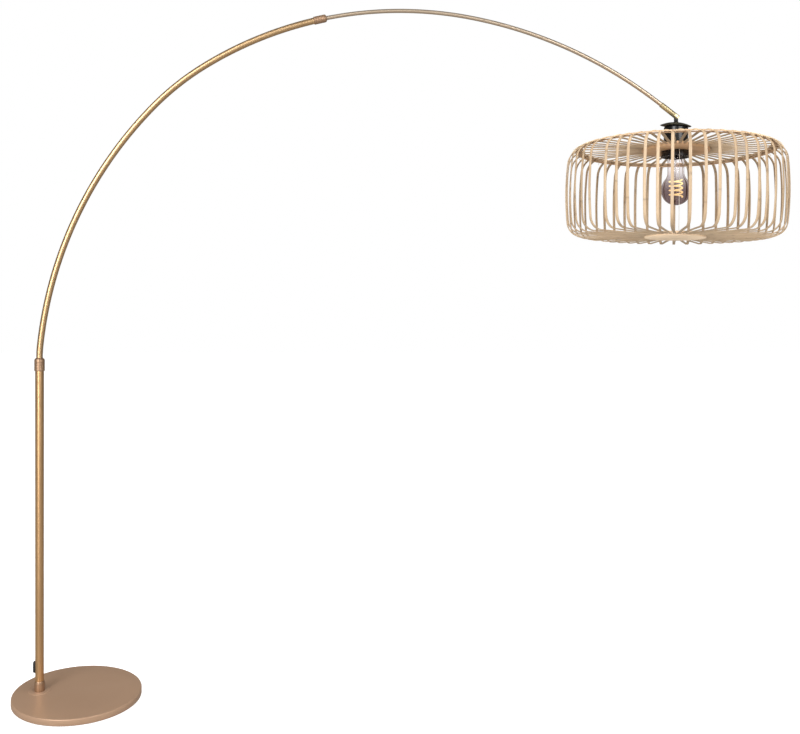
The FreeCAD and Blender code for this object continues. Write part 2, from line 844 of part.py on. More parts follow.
def make_flex_reach():
    offset = tip_bore_r - flex_d / 2 - lay_gap
    return joined(swept(upper_line, flex_d / 2, 0, offset))


nodes = {
    "base_disc": make_base_disc,
    "base_pad": make_base_pad,
    "foot_plate": make_foot_plate,
    "foot_collar": make_foot_collar,
    "foot_bolt": make_foot_bolt,
    "foot_washer": make_foot_washer,
    "pole_insert": make_pole_insert,
    "pole": make_pole,
    "cord_outlet": make_cord_outlet,
    "pole_ferrule": make_pole_ferrule,
    "pole_collet": make_pole_collet,
    "pole_collar": make_pole_collar,
    "tail_bush": make_tail_bush,
    "lower_arc": make_lower_arc,
    "arc_ferrule": make_arc_ferrule,
    "arc_collet": make_arc_collet,
    "arc_collar": make_arc_collar,
    "arm_bush": make_arm_bush,
    "upper_arc": make_upper_arc,
    "end_sleeve": make_end_sleeve,
    "swivel_screw": make_swivel_screw,
    "swivel_nut": make_swivel_nut,
    "swivel_link": make_swivel_link,
    "cap_disc": make_cap_disc,
    "cap_nut": make_cap_nut,
    "stem_nut": make_stem_nut,
    "holder_shell": make_holder_shell,
    "socket_body": make_socket_body,
    "socket_shell": make_socket_shell,
    "contact_spring": make_contact_spring,
    "shade_ring": make_shade_ring,
    "top_hub": make_top_hub,
    "bottom_hub": make_bottom_hub,
    "cage_strips": make_cage_strips,
    "rim_hoop": make_rim_hoop,
    "bulb_cap": make_bulb_cap,
    "bulb_insulator": make_bulb_insulator,
    "bulb_contact": make_bulb_contact,
    "bulb_glass": make_bulb_glass,
    "bulb_stem": make_bulb_stem,
    "bulb_filament": make_bulb_filament,
    "bulb_leads": make_bulb_leads,
    "flex_pole": make_flex_pole,
    "flex_arm": make_flex_arm,
    "flex_reach": make_flex_reach,
}

os.makedirs("parts", exist_ok=True)
print("pivot %.1f %.1f, reach centre %.1f %.1f, joint %.1f %.1f heading %.2f" % (
    pivot.x, pivot.z, reach_centre.x, reach_centre.z, joint_at.x, joint_at.z, joint_heading))
for name, make in nodes.items():
    shape = make()
    solids = len(shape.Solids)
    print("%s: %d solid(s), %.1f mm3, valid %s" % (name, solids, shape.Volume, shape.isValid()))
    export(shape, name)
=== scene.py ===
import json
import math

import bmesh
import bpy
from mathutils import Matrix, Vector


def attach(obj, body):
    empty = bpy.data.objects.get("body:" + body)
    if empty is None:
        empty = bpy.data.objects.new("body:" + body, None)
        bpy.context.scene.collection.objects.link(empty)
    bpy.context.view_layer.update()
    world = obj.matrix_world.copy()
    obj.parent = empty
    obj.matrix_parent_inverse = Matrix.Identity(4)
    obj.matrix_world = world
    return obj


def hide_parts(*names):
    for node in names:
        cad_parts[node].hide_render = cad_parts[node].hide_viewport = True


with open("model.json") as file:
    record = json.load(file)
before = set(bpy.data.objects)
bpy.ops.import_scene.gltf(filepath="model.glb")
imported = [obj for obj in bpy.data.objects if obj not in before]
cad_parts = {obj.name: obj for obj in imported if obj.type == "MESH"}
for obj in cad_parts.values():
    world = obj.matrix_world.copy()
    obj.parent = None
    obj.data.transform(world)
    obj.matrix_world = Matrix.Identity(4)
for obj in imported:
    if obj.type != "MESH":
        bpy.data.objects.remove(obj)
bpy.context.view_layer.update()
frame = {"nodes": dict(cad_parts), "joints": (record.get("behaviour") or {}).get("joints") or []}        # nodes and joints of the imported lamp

mm = 0.001
joints = {joint["name"]: joint for joint in frame["joints"]}
pivot = Vector(joints["shade_tilt"]["pos_m"])
poleAxis = Vector((joints["arm_turn"]["pos_m"][0], 0, 0))
armBendZ = joints["arm_turn"]["pos_m"][2]
collarAt = Vector(joints["arc_lock_turn"]["pos_m"])
settle = {"tilt": 1.95, "sway": -1.27, "drift": 0.95}     # degrees; the shade hangs a little out of true
# local: pivot at zero, down is -Z
hang = (Matrix.Translation(pivot) @ Matrix.Rotation(math.radians(settle["tilt"]), 4, "Y") @
        Matrix.Rotation(math.radians(settle["sway"]), 4, "X") @
        Matrix(((1, 0, -math.tan(math.radians(settle["drift"])), 0), (0, 1, 0, 0), (0, 0, 1, 0), (0, 0, 0, 1))))
atPole = Matrix.Translation(poleAxis)
print("frame loaded:", len(frame["nodes"]), "nodes")


# mesh helpers

def newObject(name, bm):
    mesh = bpy.data.meshes.new(name)
    bm.to_mesh(mesh)
    bm.free()
    obj = bpy.data.objects.new(name, mesh)
    bpy.context.scene.collection.objects.link(obj)
    return obj


def baked(obj):
    # modifiers become plain mesh
    bpy.context.view_layer.update()
    graph = bpy.context.evaluated_depsgraph_get()
    mesh = bpy.data.meshes.new_from_object(obj.evaluated_get(graph), preserve_all_data_layers=True, depsgraph=graph)
    obj.modifiers.clear()
    old = obj.data
    obj.data = mesh
    if isinstance(old, bpy.types.Mesh):
        bpy.data.meshes.remove(old)
    mesh.name = obj.name
    return obj


def softEdges(obj, width, segments=3, angle=30):
    # rounds the edges that are sharper than the angle
    bevel = obj.modifiers.new("soft", "BEVEL")
    bevel.width = width * mm
    bevel.segments = segments
    bevel.limit_method = "ANGLE"
    bevel.angle_limit = math.radians(angle)
    bevel.harden_normals = False
    return baked(obj)


def place(obj, matrix):
    obj.data.transform(matrix)
    obj.data.update()
    return obj


def shade(obj, angle=35):
    obj.data.shade_smooth()
    obj.data.set_sharp_from_angle(angle=math.radians(angle))
    return obj


def lathe(name, outline, sides=96, closed=True):
    # outline is (radius, height) in mm; a closed one goes all round the section
    bm = bmesh.new()
    turns = [2 * math.pi * i / sides for i in range(sides)]
    rings = []
    for radius, height in outline:
        if radius < 1e-6:
            rings.append([bm.verts.new((0, 0, height * mm))])
        else:
            rings.append([bm.verts.new((radius * mm * math.cos(a), radius * mm * math.sin(a), height * mm))
                          for a in turns])
    pairs = list(zip(rings, rings[1:]))
    if closed and (len(rings[0]) > 1 or len(rings[-1]) > 1):
        pairs.append((rings[-1], rings[0]))
    for low, high in pairs:
        if len(low) == 1 and len(high) == 1:
            continue
        for i in range(sides):
            j = (i + 1) % sides
            corners = [low[i % len(low)], low[j % len(low)], high[j % len(high)], high[i % len(high)]]
            bm.faces.new([v for k, v in enumerate(corners) if v not in corners[:k]])
    bmesh.ops.recalc_face_normals(bm, faces=bm.faces)
    return newObject(name, bm)


def arcPoints(cx, cz, r, first, last, steps):
    turns = [math.radians(first + (last - first) * i / steps) for i in range(steps + 1)]
    return [(cx + r * math.cos(a), cz + r * math.sin(a)) for a in turns]


def finish(obj, material, body, slot, *nodes, angle=35):
    if material:
        obj.data.materials.clear()
        obj.data.materials.append(material)
    shade(obj, angle)
    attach(obj, body)
    if nodes:
        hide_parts(*nodes)
    return obj


# node helpers

class Tree:
    # short calls for building a node tree
    def __init__(self, tree):
        self.tree = tree

    def add(self, kind, inputs=None, **settings):
        node = self.tree.nodes.new(kind)
        for key, value in settings.items():
            setattr(node, key, value)
        for key, value in (inputs or {}).items():
            self.put(node, key, value)
        return node

    def put(self, node, key, value):
        socket = node.inputs[key]
        if isinstance(value, bpy.types.NodeSocket):
            self.tree.links.new(value, socket)
        elif isinstance(value, bpy.types.Node):
            self.tree.links.new(value.outputs[0], socket)
        else:
            socket.default_value = value

    def sum(self, kind, a, b=0.0, c=0.0):
        return self.add("ShaderNodeMath", {0: a, 1: b, 2: c}, operation=kind).outputs[0]


def geometryTree(name, values):
    # values: input name -> default; the type of the default sets the type of the input
    group = bpy.data.node_groups.new(name, "GeometryNodeTree")
    group.is_modifier = True
    group.interface.new_socket("Geometry", in_out="INPUT", socket_type="NodeSocketGeometry")
    for label, value in values.items():
        kind = "NodeSocketFloat"
        if isinstance(value, bpy.types.Material):
            kind = "NodeSocketMaterial"
        elif isinstance(value, bpy.types.Object):
            kind = "NodeSocketObject"
        elif isinstance(value, int):
            kind = "NodeSocketInt"
        elif isinstance(value, (tuple, Vector)):
            kind = "NodeSocketVector"
        group.interface.new_socket(label, in_out="INPUT", socket_type=kind)
    group.interface.new_socket("Geometry", in_out="OUTPUT", socket_type="NodeSocketGeometry")
    tree = Tree(group)
    source = tree.add("NodeGroupInput")
    target = tree.add("NodeGroupOutput")
    return group, tree, source.outputs, target


def grow(obj, group, values):
    # puts the tree on the object, sets its inputs by identifier and bakes the result
    modifier = obj.modifiers.new(group.name, "NODES")
    modifier.node_group = group
    for item in group.interface.items_tree:
        if item.item_type == "SOCKET" and item.in_out == "INPUT" and item.name in values:
            value = values[item.name]
            modifier[item.identifier] = list(value) if isinstance(value, (tuple, Vector)) else value
    return baked(obj)


def lineObject(name, points):
    bm = bmesh.new()
    verts = [bm.verts.new(p) for p in points]
    for a, b in zip(verts, verts[1:]):
        bm.edges.new((a, b))
    return newObject(name, bm)


# materials

def shaderTree(name):
    material = bpy.data.materials.new(name)
    material.use_nodes = True
    tree = Tree(material.node_tree)
    return material, tree, material.node_tree.nodes["Principled BSDF"]


def linear(colour):
    # 0-255 display values to the values the shader takes
    out = []
    for value in colour:
        v = value / 255
        out.append(v / 12.92 if v <= 0.04045 else ((v + 0.055) / 1.055) ** 2.4)
    return tuple(out) + (1.0,)


def darker(colour, share):
    return linear(tuple(c * share for c in colour))


def mixColour(tree, factor, a, b, blend="MIX"):
    node = tree.add("ShaderNodeMix", data_type="RGBA", blend_type=blend)
    for key, value in ((0, factor), (6, a), (7, b)):
        tree.put(node, key, value)
    return node.outputs[2]


def stretch(tree, source, scale):
    return tree.add("ShaderNodeMapping", {"Vector": source, "Scale": scale}).outputs[0]


def noise(tree, vector, scale, detail=3.0, roughness=0.55):
    return tree.add("ShaderNodeTexNoise", {"Vector": vector, "Scale": scale, "Detail": detail,
                                           "Roughness": roughness}).outputs["Fac"]


def spread(tree, value, low, high):
    # maps 0..1 noise to a range
    node = tree.add("ShaderNodeMapRange", {"Value": value, "From Min": 0.3, "From Max": 0.7,
                                           "To Min": low, "To Max": high})
    return node.outputs[0]


def relief(tree, shader, height, strength, distance=0.0004):
    bump = tree.add("ShaderNodeBump", {"Height": height, "Strength": strength, "Distance": distance})
    tree.put(shader, "Normal", bump)


def lacquer(name, colour, deep, metallic, roughness, grain=900.0, bump=0.0015):
    # metallic lacquer: fine flake, faint clouds, slight orange peel
    material, tree, shader = shaderTree(name)
    where = tree.add("ShaderNodeTexCoord").outputs["Object"]
    clouds = noise(tree, where, 4.0, 2.0)
    flake = noise(tree, where, grain, 1.0)
    tone = mixColour(tree, spread(tree, clouds, 0.0, 0.35), linear(colour), linear(deep))
    tone = mixColour(tree, spread(tree, flake, 0.0, 0.05), tone, linear(deep))
    tree.put(shader, "Base Color", tone)
    shader.inputs["Metallic"].default_value = metallic
    tree.put(shader, "Roughness", spread(tree, noise(tree, where, 12.0, 2.0), roughness - 0.02, roughness + 0.03))
    relief(tree, shader, flake, bump, 0.0002)
    return material


def plainFinish(name, colour, metallic, roughness, bump=0.05, glow=0.0):
    material, tree, shader = shaderTree(name)
    shader.inputs["Emission Color"].default_value = linear(colour)
    shader.inputs["Emission Strength"].default_value = glow
    where = tree.add("ShaderNodeTexCoord").outputs["Object"]
    fine = noise(tree, where, 400.0, 2.0)
    tone = mixColour(tree, spread(tree, fine, 0.0, 0.35), linear(colour), darker(colour, 0.72))
    tree.put(shader, "Base Color", tone)
    tree.put(shader, "Roughness", spread(tree, fine, roughness - 0.04, roughness + 0.04))
    shader.inputs["Metallic"].default_value = metallic
    relief(tree, shader, fine, bump, 0.0003)
    return material


def bambooFinish(name, light, deep, inside=1.0):
    # reads the strip's own length and width, so the grain runs along it; the inner face is multiplied darker by the
    # inside factor as painted shade
    material, tree, shader = shaderTree(name)
    along = tree.add("ShaderNodeUVMap", uv_map="along").outputs[0]
    tone = tree.add("ShaderNodeAttribute", attribute_name="stripTone").outputs["Fac"]
    shift = tree.add("ShaderNodeCombineXYZ", {0: tree.sum("MULTIPLY", tone, 7.3), 1: tree.sum("MULTIPLY", tone, 3.1),
                                              2: tree.sum("MULTIPLY", tone, 11.0)}).outputs[0]
    moved = tree.add("ShaderNodeVectorMath", {0: along, 1: shift}, operation="ADD").outputs[0]
    fibres = noise(tree, stretch(tree, moved, (6.0, 1400.0, 1.0)), 1.0, 5.0, 0.65)
    patches = noise(tree, stretch(tree, moved, (14.0, 60.0, 1.0)), 1.0, 3.0)
    knots = tree.add("ShaderNodeTexVoronoi", {"Vector": stretch(tree, moved, (4.2, 0.001, 1.0)), "Scale": 1.0},
                     feature="DISTANCE_TO_EDGE").outputs[0]
    knotLine = tree.add("ShaderNodeMapRange", {"Value": knots, "From Min": 0.0, "From Max": 0.012,
                                               "To Min": 1.0, "To Max": 0.0}).outputs[0]
    colour = mixColour(tree, spread(tree, patches, 0.0, 1.0), linear(light), linear(deep))
    colour = mixColour(tree, spread(tree, fibres, 0.0, 0.45), colour, darker(deep, 0.72))
    colour = mixColour(tree, tree.sum("MULTIPLY", tone, 0.35), colour, darker(deep, 0.8))
    colour = mixColour(tree, tree.sum("MULTIPLY", knotLine, 0.4), colour, darker(deep, 0.55))
    girth = tree.add("ShaderNodeSeparateXYZ", {0: along}).outputs[1]
    # painted shade: the strip's inner face, seen on the far side of the cage, is made darker by the inside factor
    shadedInnerFace = tree.sum("LESS_THAN", girth, 0.0076)
    colour = mixColour(tree, shadedInnerFace, colour, (inside, inside * 0.97, inside * 0.94, 1), "MULTIPLY")
    tree.put(shader, "Base Color", colour)
    tree.put(shader, "Roughness", spread(tree, fibres, 0.42, 0.6))
    height = tree.sum("ADD", tree.sum("MULTIPLY", fibres, 0.6), tree.sum("MULTIPLY", knotLine, 0.8))
    relief(tree, shader, height, 0.35)
    return material


def woodFinish(name, light, deep, grain):
    # flat board: long grain in one direction, faint rings
    material, tree, shader = shaderTree(name)
    where = tree.add("ShaderNodeTexCoord").outputs["Object"]
    board = stretch(tree, where, grain)
    fibres = noise(tree, board, 1.0, 6.0, 0.65)
    bands = tree.add("ShaderNodeTexWave", {"Vector": stretch(tree, where, (1.5, 18.0, 6.0)), "Scale": 1.4,
                                           "Distortion": 5.0, "Detail": 3.0, "Detail Scale": 1.2}).outputs["Fac"]
    colour = mixColour(tree, spread(tree, fibres, 0.0, 0.75), linear(light), linear(deep))
    colour = mixColour(tree, tree.sum("MULTIPLY", bands, 0.35), colour, darker(deep, 0.8))
    tree.put(shader, "Base Color", colour)
    tree.put(shader, "Roughness", spread(tree, fibres, 0.42, 0.6))
    relief(tree, shader, fibres, 0.25)
    return material


def glassFinish(name, top, bottom, highZ, lowZ):
    # colour runs from the neck to the tip
    material, tree, shader = shaderTree(name)
    where = tree.add("ShaderNodeTexCoord").outputs["Object"]
    height = tree.add("ShaderNodeSeparateXYZ", {0: where}).outputs[2]
    fade = tree.add("ShaderNodeMapRange", {"Value": height, "From Min": highZ, "From Max": lowZ},
                    interpolation_type="SMOOTHSTEP").outputs[0]
    tree.put(shader, "Base Color", mixColour(tree, fade, top, bottom))
    shader.inputs["Transmission Weight"].default_value = 1.0
    shader.inputs["Roughness"].default_value = 0.0
    shader.inputs["IOR"].default_value = 1.2
    return material


finishes = {
    "base": lacquer("tanBronzeLacquer", (180, 148, 122), (162, 130, 104), 0.35, 0.42, bump=0.01),
    "pole": lacquer("goldBronzeLacquer", (214, 174, 128), (198, 158, 112), 0.9, 0.36),
    "arc": lacquer("arcBronzeLacquer", (216, 182, 138), (200, 164, 120), 0.92, 0.36),
    "tip": lacquer("paleBrassLacquer", (220, 200, 176), (200, 178, 152), 0.92, 0.36),
    "collar": lacquer("turnedBronze", (178, 146, 118), (158, 126, 100), 0.8, 0.44),
    "sleeve": lacquer("sleeveBrass", (206, 190, 150), (184, 166, 126), 0.88, 0.38),
    "black": plainFinish("blackLacquer", (30, 30, 30), 0.3, 0.32),
    "cap": plainFinish("oliveBlackLacquer", (66, 66, 56), 0.5, 0.4),
    "blackPlastic": plainFinish("blackBakelite", (18, 17, 17), 0.0, 0.26),
    "steel": plainFinish("zincSteel", (185, 186, 188), 1.0, 0.35),
    "nylon": plainFinish("naturalNylon", (214, 210, 196), 0.0, 0.5),
    "rubber": plainFinish("blackRubber", (24, 24, 24), 0.0, 0.6, bump=0.2),
    "brass": plainFinish("plainBrass", (214, 176, 100), 1.0, 0.32),
    "aluminium": plainFinish("capAluminium", (205, 205, 208), 1.0, 0.3),
    "sheath": plainFinish("blackSheath", (20, 20, 20), 0.0, 0.5),
    # the strips' inner faces are painted 0.8 darker, standing in for the shade inside the cage
    "strip": bambooFinish("bambooStrip", (208, 184, 152), (184, 155, 122), inside=0.8),
    "hub": woodFinish("hubBoard", (252, 226, 192), (236, 204, 168), (18.0, 220.0, 220.0)),
    # the top hub is the bottom hub's board in a darker tone: painted shade under the holder and the strips
    "topHub": woodFinish("topHubBoard", (210, 170, 128), (180, 138, 100), (18.0, 220.0, 220.0)),
    "hoop": bambooFinish("hoopCane", (206, 172, 136), (170, 134, 100)),
    "cane": bambooFinish("caneBinding", (228, 200, 166), (206, 174, 140)),
    "lash": bambooFinish("caneLashing", (236, 216, 180), (216, 190, 150)),
    "filament": plainFinish("amberFilament", (255, 232, 166), 0.0, 0.4, glow=2.2),
    "wire": plainFinish("thinWire", (206, 196, 180), 0.3, 0.4),
    "glass": glassFinish("smokedGlass", (0.95, 0.92, 0.92, 1), (0.42, 0.35, 0.35, 1), 1.262, 1.2),
    "stem": glassFinish("clearGlass", (0.9, 0.9, 0.9, 1), (0.9, 0.9, 0.9, 1), 1.3, 1.2),
}
print("materials:", len(finishes))


# camera, light and floor

view = {"place": (0.592, -2.150, 0.945), "lens": 40.659, "shiftX": 0.0923, "shiftY": -0.0832}
camera = bpy.data.cameras.new("camera")
camera.lens = view["lens"]
camera.sensor_width = 36.0
camera.shift_x = view["shiftX"]
camera.shift_y = view["shiftY"]
camera.clip_end = 60.0
cameraObject = bpy.data.objects.new("camera", camera)
cameraObject.location = view["place"]
cameraObject.rotation_euler = (math.radians(90), 0, 0)
bpy.context.scene.collection.objects.link(cameraObject)
bpy.context.scene.camera = cameraObject
bpy.context.scene.view_settings.view_transform = "Standard"


def softbox(name, place, aim, size, power, mirrored=True):
    light = bpy.data.lights.new(name, "AREA")
    light.shape = "RECTANGLE"
    light.size, light.size_y = size
    light.energy = power
    obj = bpy.data.objects.new(name, light)
    obj.location = place
    obj.rotation_euler = (Vector(aim) - Vector(place)).to_track_quat("-Z", "Y").to_euler()
    obj.visible_glossy = mirrored
    bpy.context.scene.collection.objects.link(obj)


softbox("keyLight", (-1.3, -3.2, 2.3), (0.4, 0, 0.9), (1.6, 2.2), 95)
softbox("poleLight", (-0.55, -3.0, 0.55), (-0.09, 0, 0.6), (1.0, 1.3), 22)
softbox("fillLight", (2.6, -2.8, 1.8), (1.2, 0, 1.1), (1.6, 1.6), 40)
softbox("topLight", (0.7, -0.6, 3.6), (0.7, 0, 0), (2.4, 1.6), 50, mirrored=False)


def makeWorld():
    world = bpy.data.worlds.new("studio")
    bpy.context.scene.world = world
    world.use_nodes = True
    tree = Tree(world.node_tree)
    world.node_tree.nodes.clear()
    path = tree.add("ShaderNodeLightPath")
    where = tree.add("ShaderNodeTexCoord").outputs["Generated"]
    parts = tree.add("ShaderNodeSeparateXYZ", {0: where})
    front = tree.add("ShaderNodeMapRange", {"Value": parts.outputs[1], "From Min": 0.7, "From Max": -0.7,
                                            "To Min": 0.35, "To Max": 0.85}).outputs[0]
    # reflections see darker walls at the sides, the back and above
    side = tree.sum("MULTIPLY", tree.sum("ABSOLUTE", parts.outputs[0]), -0.55)
    up = tree.sum("MULTIPLY", tree.sum("MAXIMUM", parts.outputs[2], 0.0), -0.5)
    walls = tree.sum("ADD", tree.sum("MULTIPLY", front, 0.75), tree.sum("ADD", side, up))
    walls = tree.sum("MAXIMUM", walls, 0.07)
    level = tree.add("ShaderNodeMix", {0: path.outputs["Is Glossy Ray"], 2: front, 3: walls}, data_type="FLOAT")
    sky = tree.add("ShaderNodeBackground", {"Color": (1, 1, 1, 1), "Strength": level.outputs[0]})
    white = tree.add("ShaderNodeBackground", {"Color": (1, 1, 1, 1), "Strength": 1.0})
    seen = tree.sum("MAXIMUM", path.outputs["Is Camera Ray"], path.outputs["Is Transmission Ray"])
    mix = tree.add("ShaderNodeMixShader", {0: seen, 1: sky, 2: white})
    tree.add("ShaderNodeOutputWorld", {"Surface": mix})


def makeFloor():
    bm = bmesh.new()
    bmesh.ops.create_grid(bm, x_segments=1, y_segments=1, size=14)
    floor = newObject("floor", bm)
    material = bpy.data.materials.new("paleFloor")
    material.use_nodes = True
    tree = Tree(material.node_tree)
    material.node_tree.nodes.clear()
    path = tree.add("ShaderNodeLightPath")
    tone = mixColour(tree, path.outputs["Is Glossy Ray"], (0.8, 0.8, 0.8, 1), (0.24, 0.22, 0.2, 1))
    matt = tree.add("ShaderNodeBsdfDiffuse", {"Color": tone})
    glow = tree.add("ShaderNodeEmission", {"Color": (1, 1, 1, 1), "Strength": 0.6})
    bright = tree.add("ShaderNodeAddShader", {0: matt, 1: glow})
    seen = tree.sum("MAXIMUM", path.outputs["Is Camera Ray"], path.outputs["Is Transmission Ray"])
    mix = tree.add("ShaderNodeMixShader", {0: seen, 1: matt, 2: bright})
    tree.add("ShaderNodeOutputMaterial", {"Surface": mix})
    floor.data.materials.append(material)


makeWorld()
makeFloor()
print("camera, light and floor ready")


# base

base = {"d": 300.0, "low": 1.5, "top": 16.5, "edge": 2.5, "plateD": 52.0, "plateT": 0.8}


def makeBase():
    r = base["d"] / 2
    e = base["edge"]
    outline = [(0, base["low"]), (r - 1, base["low"]), (r, base["low"] + 1)]
    outline += arcPoints(r - e, base["top"] - e, e, 0, 90, 8) + [(r * 0.6, base["top"]), (0, base["top"])]
    disc = lathe("baseDisc", outline, 192, closed=False)
    finish(disc, finishes["base"], "stand", "base_bronze", "base_disc", angle=50)
    low = base["top"]
    high = low + base["plateT"]
    rim = base["plateD"] / 2
    plate = lathe("footPlate", [(5.3, low), (rim, low), (rim - 0.4, high), (5.3, high)], 96)
    place(softEdges(plate, 0.2, 2), atPole)
    finish(plate, finishes["base"], "stand", "base_bronze", "foot_plate")


makeBase()

# pole

pole = {"foot": 17.3, "len": 775.0, "r": 10.0, "wall": 1.5, "footCollarR": 12.0, "footCollarH": 23.5,
        "collarR": 12.0, "collarH": 31.0, "collarOver": 15.0}


def collarOutline(r, bore, lipBore, low, high, nose):
    # turned nut with three shallow rings
    pitch = (high - nose - low - 0.8) / 4
    line = [(r - 0.8, low), (r, low + 0.8)]
    for i in range(1, 4):
        z = low + 0.8 + i * pitch
        line += [(r, z - 0.6), (r - 0.25, z - 0.3), (r - 0.25, z + 0.3), (r, z + 0.6)]
    line += arcPoints(r - nose, high - nose, nose, 0, 60, 6) + [(lipBore + 0.4, high), (lipBore, high - 0.4),
                                                                (lipBore, high - 2.6), (bore, high - 2.6)]
    return line + [(bore, low)]


def makePole():
    foot = pole["foot"]
    top = foot + pole["len"]
    r = pole["r"]
    tube = lathe("poleTube", [(r, foot)] + [(r, foot + pole["len"] * i / 12) for i in range(1, 12)] +
                 [(r, top), (r - pole["wall"], top), (r - pole["wall"], foot)], 64)
    finish(place(tube, atPole), finishes["pole"], "stand", "tube_bronze", "pole")
    cr = pole["footCollarR"]
    high = foot + pole["footCollarH"]
    ring = lathe("footCollar", [(r + 0.1, foot), (cr, foot), (cr, high - 5), (cr - 0.7, high - 4.4),
                                (cr - 0.7, high - 1.6), (r + 0.4, high), (r + 0.1, high)], 96)
    finish(place(softEdges(ring, 0.3, 3), atPole), finishes["collar"], "stand", "collar_bronze", "foot_collar")
    low = top - pole["collarOver"]
    nut = lathe("poleCollar", collarOutline(pole["collarR"], r + 0.1, 7.8, low, low + pole["collarH"], 6.0), 96)
    finish(place(softEdges(nut, 0.15, 2), atPole), finishes["collar"], "pole_lock", "collar_bronze", "pole_collar")


makePole()

# cord outlet on the pole's back

outlet = {"z": 73.0, "h": 28.0, "w": 11.0, "proud": 4.6, "bore": 6.4}


def makeOutlet():
    r = outlet["w"] / 2
    half = outlet["h"] / 2 - r
    bm = bmesh.new()
    upper = arcPoints(0, half, r, 0, 180, 16)
    outer = upper + [(-y, -z) for y, z in upper]
    far = pole["r"] + outlet["proud"]
    count = len(outer)
    layers = []
    for x, share in ((7.8, 1.0), (far - 2.0, 1.0), (far - 0.8, 0.93), (far, 0.76)):
        layers.append([bm.verts.new((-x * mm, y * share * mm, z * (1 - (1 - share) * 0.45) * mm + outlet["z"] * mm))
                       for y, z in outer])
    for x in (far, pole["r"] - 1):
        ring = []
        for y, z in outer:
            a = math.atan2(z, y)
            ring.append(bm.verts.new((-x * mm, outlet["bore"] / 2 * math.cos(a) * mm,
                                      outlet["bore"] / 2 * math.sin(a) * mm + outlet["z"] * mm)))
        layers.append(ring)
    for a, b in zip(layers, layers[1:]):
        for i in range(count):
            j = (i + 1) % count
            bm.faces.new((a[i], a[j], b[j], b[i]))
    bm.faces.new(list(reversed(layers[0])))
    bm.faces.new(layers[-1])
    bmesh.ops.recalc_face_normals(bm, faces=bm.faces)
    pad = newObject("cordOutlet", bm)
    finish(place(pad, atPole), finishes["rubber"], "stand", "black_rubber", "cord_outlet", angle=40)


makeOutlet()
print("base and pole ready")


# arm

arm = {"tail": 560.0, "bends": [(240.0, 6.0), (955.0, 38.4), (645.0, 14.2), (889.3, 19.1)],
       "reachR": 889.3, "inside": 8.0, "ahead": 23.0, "tipR": 1057.2, "tipTurn": 28.4, "r": 7.5,
       "tipTubeR": 4.75, "step": 0.5}


def headingVector(degrees):
    return Vector((math.cos(math.radians(degrees)), 0, math.sin(math.radians(degrees))))


def bendLine(start, heading, bends):
    # points along tangent bends that turn clockwise as seen from the front
    points = [Vector(start)]
    here = Vector(start)
    for radius, turn in bends:
        centre = here + headingVector(heading - 90) * radius * mm
        steps = max(4, int(turn / arm["step"]))
        for i in range(1, steps + 1):
            points.append(centre + headingVector(heading - turn * i / steps + 90) * radius * mm)
        here = points[-1]
        heading -= turn
    return points, heading


def tubeTree():
    group, tree, given, out = geometryTree("tube", {"Radius": 1.0, "Sides": 32, "Material": finishes["arc"]})
    curve = tree.add("GeometryNodeMeshToCurve", {"Mesh": given["Geometry"]})
    circle = tree.add("GeometryNodeCurvePrimitiveCircle", {"Resolution": given["Sides"], "Radius": given["Radius"]})
    skin = tree.add("GeometryNodeCurveToMesh", {"Curve": curve, "Profile Curve": circle, "Fill Caps": True})
    smooth = tree.add("GeometryNodeSetShadeSmooth", {0: skin})
    real = tree.add("GeometryNodeRealizeInstances", {0: smooth})
    painted = tree.add("GeometryNodeSetMaterial", {"Geometry": real, "Material": given["Material"]})
    tree.put(out, 0, painted)
    return group


tubeGroup = tubeTree()


def makeTube(name, points, radius, material, body, slot, *nodes, sides=48):
    obj = grow(lineObject(name, points), tubeGroup, {"Radius": radius * mm, "Sides": sides, "Material": material})
    return finish(obj, material, body, slot, *nodes, angle=40)


def makeArm():
    start = Vector((poleAxis.x, 0, armBendZ))
    points, heading = bendLine(start, 90.0, arm["bends"])
    tail = [start - Vector((0, 0, arm["tail"] * mm * (1 - i / 8))) for i in range(8)]
    makeTube("lowerArc", tail + points, arm["r"], finishes["arc"], "lower_arm", "tube_bronze", "lower_arc")
    reachCentre = Vector(joints["arc_reach"]["pos_m"])
    inner = heading + arm["inside"]
    begin = reachCentre + headingVector(inner + 90) * arm["reachR"] * mm
    bends = [(arm["reachR"], arm["inside"] + arm["ahead"]), (arm["tipR"], arm["tipTurn"])]
    points, tipHeading = bendLine(begin, inner, bends)
    makeTube("upperArc", points, arm["tipTubeR"], finishes["tip"], "upper_arm", "tip_brass", "upper_arc", sides=40)
    return heading, tipHeading


jointHeading, tipHeading = makeArm()


def along(heading, spot):
    return Matrix.Translation(spot) @ Matrix.Rotation(math.radians(90 - heading), 4, "Y")


arcCollar = {"r": 9.25, "bore": 7.8, "lipBore": 5.2, "low": -15, "high": 16, "nose": 5.0}
nut = lathe("arcCollar", collarOutline(**arcCollar), 72)
finish(place(softEdges(nut, 0.12, 2), along(jointHeading, collarAt)), finishes["collar"], "arc_lock",
       "collar_bronze", "arc_collar")


def boxMesh(name, low, high):
    bm = bmesh.new()
    bmesh.ops.create_cube(bm, size=1.0)
    for v in bm.verts:
        v.co = Vector([(low[i] + high[i]) / 2 + v.co[i] * (high[i] - low[i]) for i in range(3)]) * mm
    return newObject(name, bm)


def cutBy(obj, cutters):
    for cutter in cutters:
        cut = obj.modifiers.new("cut", "BOOLEAN")
        cut.operation = "DIFFERENCE"
        cut.solver = "EXACT"
        cut.object = cutter
        baked(obj)
        bpy.data.objects.remove(cutter)
    return obj


sleeve = {"r": 6.0, "bore": 4.95, "pinBore": 3.3, "step": 19, "len": 52.0, "grip": 18.0, "slot": 16.0, "slotW": 4.2,
          "pinBack": 6.0, "flat": 5.0, "flatLen": 12}


